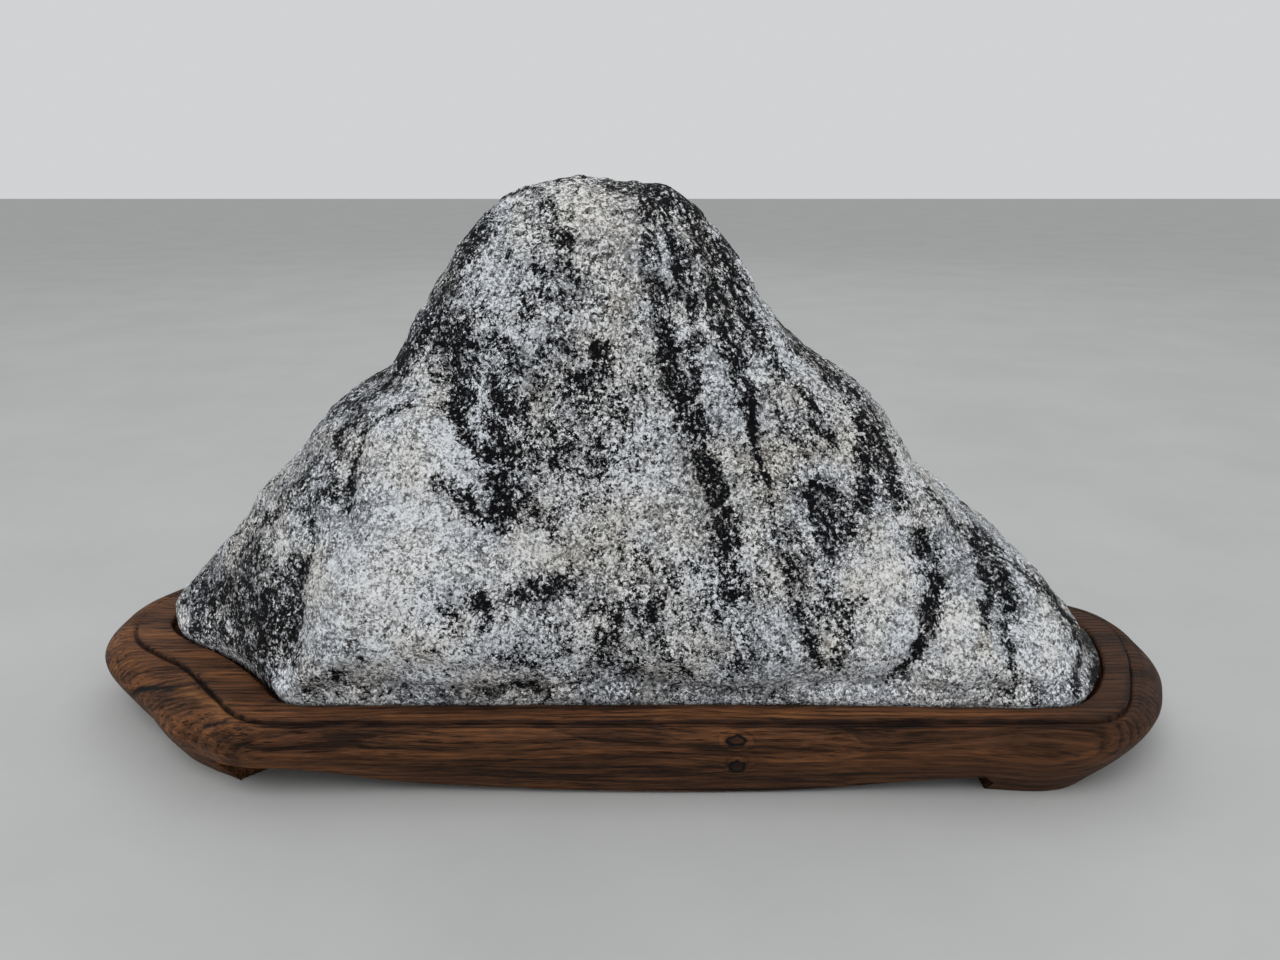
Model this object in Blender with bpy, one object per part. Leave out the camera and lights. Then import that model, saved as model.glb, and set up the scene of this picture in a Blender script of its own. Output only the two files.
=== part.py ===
# A scholar's rock on its carved wooden stand.
#
# Lengths are written in millimetres and turned into metres once, in add_object().
# +X runs along the length, -Y is the display side, +Z is up, the feet stand on
# z = 0 and the origin is under the middle of the stand's plan.
#
# The rock is one mountain form: level outlines stacked from its foot to its summit,
# pushed out by a few lumps, cut by a few flat facets and grooved along its folds.
# The stand is one carved block: a section carried round the outline of the seat.

import math

import bmesh
import bpy
import numpy as np

MM = 0.001

# ---------------------------------------------------------------- the stand
RIM_HEIGHT = 27.0       # top face of the rim above the floor
RIM_ROUND = 0.6         # worn inner edge of the rim
SEAT_DEPTH = 4.0        # the seat floor is this far under the rim
CREASE_WIDTH = 0.8
LEAST_STEP = 0.05       # where the rim's top has no crease
BULGE_HEIGHT = 18.0     # where the side bulges out furthest
CHEEK_RISE = 4.0        # the rounded cheek lies this far above that,
CHEEK_SHARE = 0.86      # and this share of the way out from the crease
SHOULDER_SHARE = 0.45   # the shoulder under the crease: share of the way out,
SHOULDER_OUT = 0.6      # further out by this,
SHOULDER_DROP = 0.2     # below the step by this,
SHOULDER_FALL = 0.05    # and by this for every millimetre of the way out
HULL_CURVE = 1.35       # roundness of the side below the bulge; 1 is a straight taper
CEILING_HEIGHT = 14.0   # hollow underside
APRON_WIDTH = 8.0       # lower edge between the feet, measured inwards
FOOT_WIDTH = 13.0       # feet, measured inwards
FOOT_LENGTH = 60.0      # along the outline
FOOT_CUT = 2.0          # length of the steep cut at a foot's inner end
FOOT_FADE = 18.0        # length of the gentle rise at its outer end, under the wing
EDGE_ROUND = 0.8        # worn lower edges, and their height
EDGE_RISE = 0.56
STAND_STATIONS = 92
PLAN_CENTRE = (-1.4, 2.06)      # middle of the stand's plan, moved to the origin

# The seat's outline, anticlockwise from the left end: x, y, then how far out of it lie
# the crease round the flat rim, the furthest bulge of the side and its lowest edge,
# the height of the lower edge between the feet, and the step down at the crease.
SEAT_OUTLINE = (
    (-167.5, 8.0, 11.0, 23.2, 10.0, 5.0, 0.2),
    (-163.0, -2.5, 11.5, 22.8, 11.0, 5.0, 0.9),
    (-152.5, -11.6, 11.0, 23.6, 14.5, 5.4, 1.2),
    (-141.0, -19.0, 11.5, 26.0, 17.0, 6.0, 1.2),
    (-129.0, -28.6, 12.8, 28.0, 19.5, 6.5, 1.2),
    (-118.0, -39.8, 13.2, 27.0, 16.0, 9.0, 1.2),
    (-109.0, -50.0, 12.2, 21.0, 10.5, 12.0, 1.2),
    (-101.0, -53.6, 9.6, 15.6, 5.5, 12.2, 1.2),
    (-88.0, -53.9, 8.8, 14.6, 5.5, 9.8, 1.2),
    (-60.0, -53.9, 8.6, 14.5, 6.0, 4.0, 1.2),
    (0.0, -53.6, 8.9, 14.5, 8.0, 1.2, 1.2),
    (55.0, -53.6, 8.8, 14.5, 7.5, 1.4, 1.2),
    (105.0, -55.0, 7.2, 14.0, 4.0, 6.8, 1.2),
    (134.0, -55.2, 7.0, 14.2, 5.4, 8.6, 1.2),
    (148.0, -50.5, 10.0, 15.4, 3.0, 6.0, 1.2),
    (160.5, -34.0, 8.0, 18.2, 5.5, 5.5, 1.1),
    (167.5, -14.0, 8.6, 20.0, 7.0, 5.0, 0.9),
    (167.5, 3.0, 9.6, 16.2, 7.0, 5.0, 0.5),
    (155.0, 16.0, 7.4, 11.4, 5.0, 5.5, 0.1),
    (139.0, 34.0, 8.2, 12.8, 4.2, 6.5, 0.6),
    (105.0, 48.5, 8.5, 15.4, 5.4, 4.5, 1.2),
    (45.0, 53.5, 8.5, 17.5, 7.0, 1.5, 1.2),
    (-20.0, 55.0, 8.5, 18.0, 7.0, 1.5, 1.2),
    (-85.0, 54.0, 9.0, 19.0, 7.5, 4.5, 1.2),
    (-130.0, 48.5, 10.0, 22.0, 8.5, 7.0, 0.8),
    (-154.0, 37.5, 10.5, 19.5, 9.5, 6.0, 0.2),
    (-165.5, 22.0, 11.0, 20.8, 10.0, 5.0, 0.1),
)
# a point of the outline at the middle of each foot, and the lengths over which the foot
# starts and ends
FEET = (
    (-131.7, -27.2, FOOT_FADE, FOOT_CUT),
    (142.5, -52.3, FOOT_CUT, FOOT_FADE),
    (140.5, 32.0, FOOT_FADE, FOOT_CUT),
    (-133.0, 47.5, FOOT_CUT, FOOT_FADE),
)

# ---------------------------------------------------------------- the rock
REST_GAP = 0.3          # underside over the seat floor
SEAT_PLAY = 1.2         # between the rock's foot and the seat wall
UNDERSIDE_ROUND = 0.8
SUMMIT = (-10.0, 7.0, 184.0)
FOOT_BLEND = 30.0       # over this height the seat's outline turns into the level outlines
ROCK_COLUMNS = 88
ROCK_ROWS = 32

# height and place of the four outer limits of the rock's level outlines
LEFT_LIMIT = (
    (27, -167.0), (36, -166.5), (44, -158.5), (58, -144.5), (74, -129.5), (90, -114.0),
    (97, -109.5), (102, -106.0), (110, -97.5), (116, -89.5), (121, -80.0), (126, -77.0),
    (138, -71.5), (152, -60.5), (165, -52.0), (174, -43.0), (180, -36.0), (183, -28.0))
RIGHT_LIMIT = (
    (27, 168.0), (36, 159.5), (44, 152.5), (58, 140.0), (64, 132.5), (70, 124.5),
    (80, 114.5), (87, 104.0), (100, 95.5), (112, 85.0), (123, 71.0), (133, 58.0),
    (141, 49.5), (153, 42.5), (165, 33.5), (174, 24.5), (180, 14.5), (183, 2.5))
FRONT_LIMIT = (
    (27, -54.0), (42, -58.0), (58, -53.5), (74, -48.0), (92, -41.5), (108, -36.5),
    (124, -32.0), (140, -28.0), (156, -22.0), (168, -15.0), (177, -7.5), (182, -0.5))
BACK_LIMIT = (
    (27, 54.0), (42, 57.0), (58, 54.5), (74, 51.0), (92, 47.0), (108, 43.5),
    (124, 40.0), (140, 36.5), (156, 32.0), (168, 27.0), (177, 21.0), (182, 15.0))
# height and squareness of the level outlines: 2 is an ellipse, more is boxier
SQUARENESS = ((27, 3.2), (60, 2.9), (95, 2.5), (125, 2.3), (160, 2.15), (183, 2.0))

# centre, radii and outward push of each lump; less than 0 is a hollow
LUMPS = (
    ((-70.0, -46.0, 62.0), (34.0, 24.0, 40.0), 5.0),     # foot of the white buttress
    ((-64.0, -30.0, 100.0), (24.0, 20.0, 20.0), 4.0),    # head of the buttress
    ((28.0, -42.0, 88.0), (34.0, 24.0, 46.0), 2.5),      # belly right of the middle
    ((96.0, -28.0, 74.0), (20.0, 22.0, 26.0), 2.5),      # right shoulder
    ((145.0, -30.0, 40.0), (20.0, 26.0, 18.0), 2.5),     # corner at the right foot
    ((-8.0, -6.0, 168.0), (26.0, 22.0, 16.0), 1.5),      # brow of the peak
    ((-60.0, 40.0, 92.0), (40.0, 24.0, 34.0), 4.0),      # back, left buttress
    ((62.0, 42.0, 66.0), (36.0, 24.0, 34.0), 4.0),       # back, right buttress
    ((2.0, 44.0, 118.0), (22.0, 22.0, 44.0), -4.0),      # back, long hollow between them
    ((-120.0, 28.0, 52.0), (26.0, 24.0, 24.0), 3.0),     # back, left foot
)

# three points of each flat facet, anticlockwise seen from outside
FACETS = (
    ((-163.0, -1.5, 27.0), (-106.0, -53.5, 27.0), (-96.0, -40.0, 70.0)),   # left of the buttress
    ((-60.0, -53.0, 27.0), (60.0, -53.0, 27.0), (0.0, -57.2, 41.0)),       # undercut along the foot
    ((104.0, -54.0, 27.0), (145.0, -52.5, 27.0), (128.0, -55.6, 40.0)),    # grey facet, right foot
    ((150.0, 36.0, 27.0), (80.0, 58.0, 27.0), (96.0, 40.0, 82.0)),         # back right
    ((-70.0, 58.5, 27.0), (-150.0, 42.0, 27.0), (-104.0, 40.0, 74.0)),     # back left
)
FACET_ROUNDING = 0.8

# line of each fold as x and z on the display side, its width and its depth
FOLDS = (
    (((-58, 134), (-50, 121), (-43, 109), (-37, 97), (-33, 84), (-24, 76), (-13, 62)), 8.5, 4.0),
    (((11, 152), (15, 136), (22, 114), (26, 98), (31, 84), (29, 70)), 5.0, 1.3),
    (((22, 177), (30, 165), (37, 150), (42, 126), (50, 104)), 6.0, 1.8),
    (((91, 79), (100, 69), (102, 57), (99, 47), (88, 38)), 5.5, 1.8),
    (((111, 79), (119, 66), (122, 56), (121, 44)), 5.0, 1.4),
)
FOLD_FADE = (4.0, 16.0)     # the folds fade out over this stretch of depth, at the ridge

# lattice size, seed and height of each layer of rough relief
RELIEF = ((34.0, 11, 2.6), (15.0, 12, 1.3), (7.5, 13, 0.5))
RELIEF_SPAN = 240.0         # the lattice reaches this far each way
LUMP_RISE = 14.0            # lumps, facets and relief set in over these heights above the rim
FACET_RISE = 6.0
RELIEF_RISE = 8.0

# colour, roughness and metallic value
ROCK_FINISH = ((0.42, 0.42, 0.41, 1.0), 0.72, 0.0)
STAND_FINISH = ((0.075, 0.034, 0.018, 1.0), 0.42, 0.0)
SHARP_ANGLE = math.radians(42.0)


def smooth_outline(points, steps=24):
    """Dense closed Catmull-Rom curve through points, and the length along it.

    Every column after x and y is carried along.
    """
    knots = np.array(points, dtype=float)
    turn = np.arange(len(knots) * steps) / steps
    index = turn.astype(int)
    t = (turn - index)[:, None]
    before, start, end, after = (knots[(index + k) % len(knots)] for k in (-1, 0, 1, 2))
    curve = 0.5 * (2 * start + (end - before) * t
                   + (2 * before - 5 * start + 4 * end - after) * t ** 2
                   + (3 * start - before - 3 * end + after) * t ** 3)
    curve = np.vstack((curve, curve[:1]))
    strides = np.hypot(np.diff(curve[:, 0]), np.diff(curve[:, 1]))
    return curve, np.concatenate(([0.0], np.cumsum(strides)))


def read_along(curve, length, stations):
    """Every column of the curve at the given lengths along it."""
    return np.column_stack([np.interp(stations, length, column) for column in curve.T])


def outward(plan):
    """Unit normals that point out of an anticlockwise closed outline."""
    along = np.roll(plan, -1, axis=0) - np.roll(plan, 1, axis=0)
    normal = np.column_stack((along[:, 1], -along[:, 0]))
    return normal / np.linalg.norm(normal, axis=1, keepdims=True)


def smooth_step(value):
    value = np.clip(value, 0.0, 1.0)
    return value * value * (3.0 - 2.0 * value)


def ring_faces(rings, count):
    """Quads between consecutive closed rings of count vertices each."""
    faces = []
    for ring in range(rings - 1):
        low, high = ring * count, (ring + 1) * count
        for i in range(count):
            j = (i + 1) % count
            faces.append((low + i, low + j, high + j, high + i))
    return faces


def add_object(name, vertices, faces, finish):
    """Make one named mesh object, in metres, with its own Principled material."""
    placed = np.asarray(vertices) - np.array((*PLAN_CENTRE, 0.0))
    mesh = bpy.data.meshes.new(name)
    mesh.from_pydata((placed * MM).tolist(), [], faces)
    bm = bmesh.new()
    bm.from_mesh(mesh)
    bmesh.ops.triangulate(bm, faces=[face for face in bm.faces if len(face.verts) > 3])
    bmesh.ops.recalc_face_normals(bm, faces=bm.faces[:])
    bm.to_mesh(mesh)
    bm.free()
    mesh.shade_smooth()
    mesh.set_sharp_from_angle(angle=SHARP_ANGLE)

    colour, roughness, metallic = finish
    material = bpy.data.materials.new(name + "_finish")
    material.use_nodes = True
    shader = material.node_tree.nodes["Principled BSDF"]
    shader.inputs["Base Color"].default_value = colour
    shader.inputs["Roughness"].default_value = roughness
    shader.inputs["Metallic"].default_value = metallic
    mesh.materials.append(material)

    part = bpy.data.objects.new(name, mesh)
    bpy.context.scene.collection.objects.link(part)
    return part


# ---------------------------------------------------------------- the stand

def foot_spans(curve, length):
    """Where each foot starts, is whole, begins to end and ends, as lengths along the outline."""
    spans = []
    for x, y, rise, fall in FEET:
        nearest = np.argmin(np.hypot(curve[:-1, 0] - x, curve[:-1, 1] - y))
        start = length[nearest] - FOOT_LENGTH / 2
        end = length[nearest] + FOOT_LENGTH / 2
        spans.append((start, start + rise, end - fall, end))
    return spans


def foot_share(stations, spans, total):
    """1 on a foot and 0 between the feet."""
    share = np.zeros_like(stations)
    for start, whole, ending, end in spans:
        inside = np.mod(stations - start, total)
        rise = smooth_step(inside / (whole - start))
        fall = smooth_step((end - start - inside) / (end - ending))
        share = np.maximum(share, np.minimum(rise, fall))
    return share


def stand_stations(spans, total):
    """Even stations along the outline, with the four marks of every foot put in."""
    cuts = [mark for span in spans for mark in span]
    cuts = np.mod(cuts, total)
    even = np.linspace(0.0, total, STAND_STATIONS, endpoint=False)
    clear = np.abs(even[:, None] - cuts).min(axis=1) > FOOT_CUT
    return np.sort(np.concatenate((even[clear], cuts)))


def stand_section(crease, reach, base, lower, step, foot):
    """Offset out of the seat's outline and height of every ring of the stand.

    The rings run from the seat floor over the rim, down the side and under it.
    """
    same = np.ones_like(reach)
    low = lower * (1.0 - foot)
    seat_floor = RIM_HEIGHT - SEAT_DEPTH
    step_height = RIM_HEIGHT - np.maximum(step, LEAST_STEP)
    bulge = reach - crease

    def hull(height):
        """Offset of the side, from the floor up to where it bulges out furthest."""
        return base + (reach - base) * (1.0 - (1.0 - height / BULGE_HEIGHT) ** HULL_CURVE)

    waist = (lower + BULGE_HEIGHT) / 2
    edge = hull(low)
    inner = edge - APRON_WIDTH - (FOOT_WIDTH - APRON_WIDTH) * foot
    return (
        (0.0 * same, seat_floor * same),
        (0.0 * same, (RIM_HEIGHT - RIM_ROUND) * same),
        (RIM_ROUND * same, RIM_HEIGHT * same),
        (crease, RIM_HEIGHT * same),
        (crease + CREASE_WIDTH, step_height),
        (crease + SHOULDER_SHARE * bulge + SHOULDER_OUT,
         step_height - SHOULDER_FALL * bulge - SHOULDER_DROP),
        (crease + CHEEK_SHARE * bulge, (BULGE_HEIGHT + CHEEK_RISE) * same),
        (reach, BULGE_HEIGHT * same),
        (hull(waist), waist),
        (hull(lower + EDGE_ROUND), lower + EDGE_ROUND),
        (hull(low + EDGE_RISE), low + EDGE_RISE),
        (edge - EDGE_ROUND, low),
        (inner + EDGE_ROUND, low),
        (inner, low + EDGE_ROUND),
        (inner - EDGE_ROUND, CEILING_HEIGHT * same),
    )


def make_stand():
    curve, length = smooth_outline(SEAT_OUTLINE)
    spans = foot_spans(curve, length)
    stations = stand_stations(spans, length[-1])
    columns = read_along(curve, length, stations)
    plan = columns[:, :2]
    normal = outward(plan)
    section = stand_section(*columns[:, 2:].T, foot_share(stations, spans, length[-1]))
    rings = [np.column_stack((plan + normal * offset[:, None], height))
             for offset, height in section]
    count = len(stations)
    faces = ring_faces(len(rings), count)
    faces.append(tuple(range(count)))
    faces.append(tuple(range((len(rings) - 1) * count, len(rings) * count)))
    return add_object("stand", np.vstack(rings), faces, STAND_FINISH)


# ---------------------------------------------------------------- the rock

def level(height):
    """0 at the summit and 1 at the rim, so that the top closes as a round dome."""
    return np.sqrt((SUMMIT[2] - np.asarray(height, dtype=float)) / (SUMMIT[2] - RIM_HEIGHT))


def read_limit(table, summit, at):
    """Smooth curve through a table of height and place, ending at the summit."""
    knots = np.array(table, dtype=float)[::-1]
    place = np.concatenate(([summit], knots[:, 1]))
    step = np.concatenate(([0.0], level(knots[:, 0])))
    slope = np.gradient(place, step)
    index = np.clip(np.searchsorted(step, at) - 1, 0, len(step) - 2)
    width = step[index + 1] - step[index]
    t = (at - step[index]) / width
    return (place[index] * (1 + 2 * t) * (1 - t) ** 2 + slope[index] * width * t * (1 - t) ** 2
            + place[index + 1] * t ** 2 * (3 - 2 * t) + slope[index + 1] * width * t ** 2 * (t - 1))


def even_angles(count):
    """Angles that put the columns at even distances round the rock's foot."""
    fine = np.linspace(-math.pi, math.pi, 1441)
    strides = np.hypot(RIGHT_LIMIT[0][1] * np.diff(np.cos(fine)), BACK_LIMIT[0][1] * np.diff(np.sin(fine)))
    length = np.concatenate(([0.0], np.cumsum(strides)))
    return np.interp(np.linspace(0.0, length[-1], count, endpoint=False), length, fine)


def foot_radius(angle):
    """Radius of the seat's outline, less its play, where the foot is stretched to a unit circle."""
    plan = smooth_outline(SEAT_OUTLINE)[0][:-1, :2]
    plan = (plan - outward(plan) * SEAT_PLAY) / (RIGHT_LIMIT[0][1], BACK_LIMIT[0][1])
    turn = np.arctan2(plan[:, 1], plan[:, 0])
    return np.interp(angle, turn, np.hypot(plan[:, 0], plan[:, 1]), period=2 * math.pi)


def base_form(rows, angle):
    """Level outlines between the four limits, as an array of rows, columns and x, y, z."""
    at = rows[:, None]
    height = SUMMIT[2] - (SUMMIT[2] - RIM_HEIGHT) * at ** 2
    left, right = (read_limit(table, SUMMIT[0], at) for table in (LEFT_LIMIT, RIGHT_LIMIT))
    front, back = (read_limit(table, SUMMIT[1], at) for table in (FRONT_LIMIT, BACK_LIMIT))
    power = read_limit(SQUARENESS, SQUARENESS[-1][1], at)
    cos, sin = np.cos(angle)[None, :], np.sin(angle)[None, :]
    radius = (np.abs(cos) ** power + np.abs(sin) ** power) ** (-1.0 / power)
    rise = smooth_step((height - RIM_HEIGHT) / FOOT_BLEND)
    radius = foot_radius(angle)[None, :] * (1.0 - rise) + radius * rise
    x = (left + right) / 2 + (right - left) / 2 * radius * cos
    y = (front + back) / 2 + (back - front) / 2 * radius * sin
    return np.stack((x, y, np.broadcast_to(height, x.shape)), axis=2)


def surface_normals(points):
    """Outward normals of a closed grid, from its rows and columns."""
    along = np.roll(points, -1, axis=1) - np.roll(points, 1, axis=1)
    normal = np.cross(along, np.gradient(points, axis=0))
    return normal / np.linalg.norm(normal, axis=2, keepdims=True)


def lump_push(points):
    push = np.zeros(points.shape[:2])
    for centre, radii, amount in LUMPS:
        away = (points - np.array(centre)) / np.array(radii)
        push += amount * np.exp(-(away ** 2).sum(axis=2))
    return push * smooth_step((points[:, :, 2] - RIM_HEIGHT) / LUMP_RISE)


def fold_push(points):
    """Grooves whose depth falls off with the distance from each fold's line."""
    push = np.zeros(points.shape[:2])
    display = smooth_step((FOLD_FADE[0] - points[:, :, 1]) / FOLD_FADE[1])
    flat = points[:, :, (0, 2)]
    for line, width, depth in FOLDS:
        knots = np.array(line, dtype=float)
        nearest = np.full(push.shape, np.inf)
        for start, end in zip(knots[:-1], knots[1:]):
            run = end - start
            share = np.clip(((flat - start) @ run) / (run @ run), 0.0, 1.0)
            away = flat - start - share[:, :, None] * run
            nearest = np.minimum(nearest, (away ** 2).sum(axis=2))
        push -= depth * np.exp(-nearest / width ** 2) * display
    return push


def cut_facets(points):
    """Lay whatever stands out past a facet's plane back towards it, with a rounded edge."""
    above_rim = smooth_step((points[:, :, 2] - RIM_HEIGHT) / FACET_RISE)
    for first, second, third in np.array(FACETS):
        normal = np.cross(second - first, third - first)
        normal /= np.linalg.norm(normal)
        past = (points - first) @ normal
        trim = FACET_ROUNDING * np.logaddexp(0.0, past / FACET_ROUNDING) * above_rim
        points = points - trim[:, :, None] * (normal[0], normal[1], 0.0)
    return points


def lattice_noise(points, cell, seed):
    """Smooth noise from -1 to 1: random values on a cubic lattice, blended between its corners."""
    size = int(2 * RELIEF_SPAN / cell) + 3
    values = np.random.default_rng(seed).uniform(-1.0, 1.0, (size, size, size))
    place = (points + RELIEF_SPAN) / cell
    corner = np.floor(place).astype(int)
    blend = smooth_step(place - corner)
    total = np.zeros(points.shape[:2])
    for step in np.ndindex(2, 2, 2):
        share = np.prod(np.where(step, blend, 1.0 - blend), axis=2)
        at = corner + step
        total += share * values[at[:, :, 0], at[:, :, 1], at[:, :, 2]]
    return total


def rock_rings():
    """Rings of the rock from its underside up to the last one round the summit."""
    rows = np.linspace(1.0, 0.0, ROCK_ROWS, endpoint=False)
    points = base_form(rows, even_angles(ROCK_COLUMNS))
    points += surface_normals(points) * lump_push(points)[:, :, None]
    points = cut_facets(points)
    push = fold_push(points)
    for cell, seed, amount in RELIEF:
        push += amount * lattice_noise(points, cell, seed)
    push *= smooth_step((points[:, :, 2] - RIM_HEIGHT) / RELIEF_RISE)
    points += surface_normals(points) * push[:, :, None]

    underside = points[0].copy()
    underside[:, :2] -= outward(underside[:, :2]) * UNDERSIDE_ROUND
    underside[:, 2] = RIM_HEIGHT - SEAT_DEPTH + REST_GAP
    return np.concatenate((underside[None], points))


def make_rock():
    rings = rock_rings()
    vertices = np.vstack((rings.reshape(-1, 3), rings[-1].mean(axis=0)))
    top = (len(rings) - 1) * ROCK_COLUMNS
    peak = len(vertices) - 1
    faces = ring_faces(len(rings), ROCK_COLUMNS)
    faces.append(tuple(range(ROCK_COLUMNS)))
    faces += [(top + i, top + (i + 1) % ROCK_COLUMNS, peak) for i in range(ROCK_COLUMNS)]
    return add_object("stone", vertices, faces, ROCK_FINISH)


def main():
    for old in list(bpy.data.objects):
        bpy.data.objects.remove(old)
    make_stand()
    make_rock()


main()
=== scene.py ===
import math

import bpy
import numpy as np
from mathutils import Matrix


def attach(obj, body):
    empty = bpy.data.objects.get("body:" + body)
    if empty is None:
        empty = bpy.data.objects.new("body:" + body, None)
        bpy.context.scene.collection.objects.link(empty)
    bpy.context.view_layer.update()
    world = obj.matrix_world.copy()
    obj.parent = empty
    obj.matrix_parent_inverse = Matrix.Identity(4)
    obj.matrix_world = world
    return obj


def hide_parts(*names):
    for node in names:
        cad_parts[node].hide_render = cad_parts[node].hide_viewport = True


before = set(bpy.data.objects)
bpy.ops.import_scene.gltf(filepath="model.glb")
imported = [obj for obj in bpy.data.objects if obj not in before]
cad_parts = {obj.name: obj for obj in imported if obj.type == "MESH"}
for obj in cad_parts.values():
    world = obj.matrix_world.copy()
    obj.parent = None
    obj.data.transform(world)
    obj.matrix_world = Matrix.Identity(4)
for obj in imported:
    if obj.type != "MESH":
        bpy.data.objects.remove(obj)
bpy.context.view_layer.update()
print("frame loaded:", ", ".join(sorted(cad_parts)))

mm = 0.001
planCentre = (-1.4, 2.06)  # middle of the stand's plan in the tables below, moved to the origin
rimHeight = 27.0
seatDepth = 4.0

# the seat's outline, anticlockwise from the left end: x, y, offsets of the crease, of the furthest bulge
# and of the lowest edge, height of the lower edge between the feet, step down at the crease
seatOutline = (
    (-167.5, 8, 11, 23.2, 10, 5, 0.2), (-163, -2.5, 11.5, 22.8, 11, 5, 0.9),
    (-152.5, -11.6, 11, 23.6, 14.5, 5.4, 1.2), (-141, -19, 11.5, 26, 17, 6, 1.2),
    (-129, -28.6, 12.8, 28, 19.5, 6.5, 1.2), (-118, -39.8, 13.2, 27, 16, 9, 1.2),
    (-109, -50, 12.2, 21, 10.5, 12, 1.2), (-101, -53.6, 9.6, 15.6, 5.5, 12.2, 1.2),
    (-88, -53.9, 8.8, 14.6, 5.5, 9.8, 1.2), (-60, -53.9, 8.6, 14.5, 6, 4, 1.2),
    (0, -53.6, 8.9, 14.5, 8, 1.2, 1.2), (55, -53.6, 8.8, 14.5, 7.5, 1.4, 1.2),
    (105, -55, 7.2, 14, 4, 6.8, 1.2), (134, -55.2, 7, 14.2, 5.4, 8.6, 1.2),
    (148, -50.5, 10, 15.4, 3, 6, 1.2), (160.5, -34, 8, 18.2, 5.5, 5.5, 1.1),
    (167.5, -14, 8.6, 20, 7, 5, 0.9), (167.5, 3, 9.6, 16.2, 7, 5, 0.5), (155, 16, 7.4, 11.4, 5, 5.5, 0.1),
    (139, 34, 8.2, 12.8, 4.2, 6.5, 0.6), (105, 48.5, 8.5, 15.4, 5.4, 4.5, 1.2),
    (45, 53.5, 8.5, 17.5, 7, 1.5, 1.2), (-20, 55, 8.5, 18, 7, 1.5, 1.2), (-85, 54, 9, 19, 7.5, 4.5, 1.2),
    (-130, 48.5, 10, 22, 8.5, 7, 0.8), (-154, 37.5, 10.5, 19.5, 9.5, 6, 0.2),
    (-165.5, 22, 11, 20.8, 10, 5, 0.1),
)
outlineSteps = 48  # points of the curve between two rows
noiseSpan = 240.0  # the noise's lattice reaches this far from the origin


# Catmull-Rom: a cubic from start to end, its slopes there half of end - before and half of after - start
def catmullRom(before, start, end, after, t):
    return 0.5 * (2 * start + (end - before) * t
                  + (2 * before - 5 * start + 4 * end - after) * t ** 2
                  + (3 * start - before - 3 * end + after) * t ** 3)


# length at every point of a curve: the running sum of its strides
def runningLength(strides):
    return np.concatenate(([0.0], np.cumsum(strides)))


# values read off at even distances along the strides
def spacedEvenly(values, strides, count):
    length = runningLength(strides)
    return np.interp(np.linspace(0.0, length[-1], count, endpoint=False), length, values)


# closed Catmull-Rom curve through the seat's rows, and its length at every point
def seatCurve():
    knots = np.array(seatOutline, dtype=float)
    turn = np.arange(len(knots) * outlineSteps) / outlineSteps
    index = turn.astype(int)
    curve = catmullRom(*(knots[(index + k) % len(knots)] for k in (-1, 0, 1, 2)), (turn - index)[:, None])
    curve = np.vstack((curve, curve[:1]))
    return curve, runningLength(np.hypot(np.diff(curve[:, 0]), np.diff(curve[:, 1])))


# unit normals of an anticlockwise outline: its direction turned a quarter to the right
def outward(plan):
    along = np.roll(plan, -1, axis=0) - np.roll(plan, 1, axis=0)
    normal = np.column_stack((along[:, 1], -along[:, 0]))
    return normal / np.linalg.norm(normal, axis=1, keepdims=True)


# 3t2 - 2t3 between 0 and 1
def smoothStep(value):
    value = np.clip(value, 0.0, 1.0)
    return value * value * (3.0 - 2.0 * value)


# the same from start to start + reach, which runs down where the reach is negative
def ramp(value, start, reach):
    return smoothStep((value - start) / reach)


# value noise from -1 to 1: seeded random numbers on a cubic lattice, blended between its corners
def latticeNoise(points, cell, seed):
    size = int(2 * noiseSpan / cell) + 3
    values = np.random.default_rng(seed).uniform(-1.0, 1.0, (size, size, size))
    place = (points + noiseSpan) / cell
    corner = np.floor(place).astype(int)
    blend = smoothStep(place - corner)
    total = np.zeros(points.shape[:-1])
    for step in np.ndindex(2, 2, 2):
        share = np.prod(np.where(step, blend, 1.0 - blend), axis=-1)
        at = corner + step
        total += share * values[at[..., 0], at[..., 1], at[..., 2]]
    return total


# sum of noises, each of its own cell, seed and height
def noiseSum(points, layers):
    return sum(height * latticeNoise(points, cell, seed) for cell, seed, height in layers)


# two such sums side by side, to push a place in x and z: the second's seeds come one after the first's
def noisePair(points, layers):
    return np.stack([noiseSum(points, [(cell, seed + k, height) for cell, seed, height in layers])
                     for k in range(2)], axis=-1)


# outward normals of a grid of closed rings: direction along a ring crossed with direction up the rings
def gridNormals(points):
    along = np.roll(points, -1, axis=1) - np.roll(points, 1, axis=1)
    normal = np.cross(along, np.gradient(points, axis=0))
    return normal / np.maximum(np.linalg.norm(normal, axis=2, keepdims=True), 1e-9)


# least distance from each place to a line of straight runs, whose knots' coordinates stand in one row
def distanceToLine(places, line):
    knots = np.reshape(line, (-1, places.shape[-1])).astype(float)
    nearest = np.full(places.shape[:-1], np.inf)
    for start, end in zip(knots[:-1], knots[1:]):
        run = end - start
        share = np.clip(((places - start) @ run) / (run @ run), 0.0, 1.0)
        away = places - start - share[..., None] * run
        nearest = np.minimum(nearest, (away ** 2).sum(axis=-1))
    return np.sqrt(nearest)


# sum of Gaussian patches, each a row of centre, radii and amount: the amount times e to the minus the square
# of the distance in radii
def patchSum(places, patches):
    total = np.zeros(places.shape[:-1])
    for *row, amount in patches:
        centre, radii = np.reshape(row, (2, -1))
        total += amount * np.exp(-(((places - centre) / radii) ** 2).sum(axis=-1))
    return total


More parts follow.
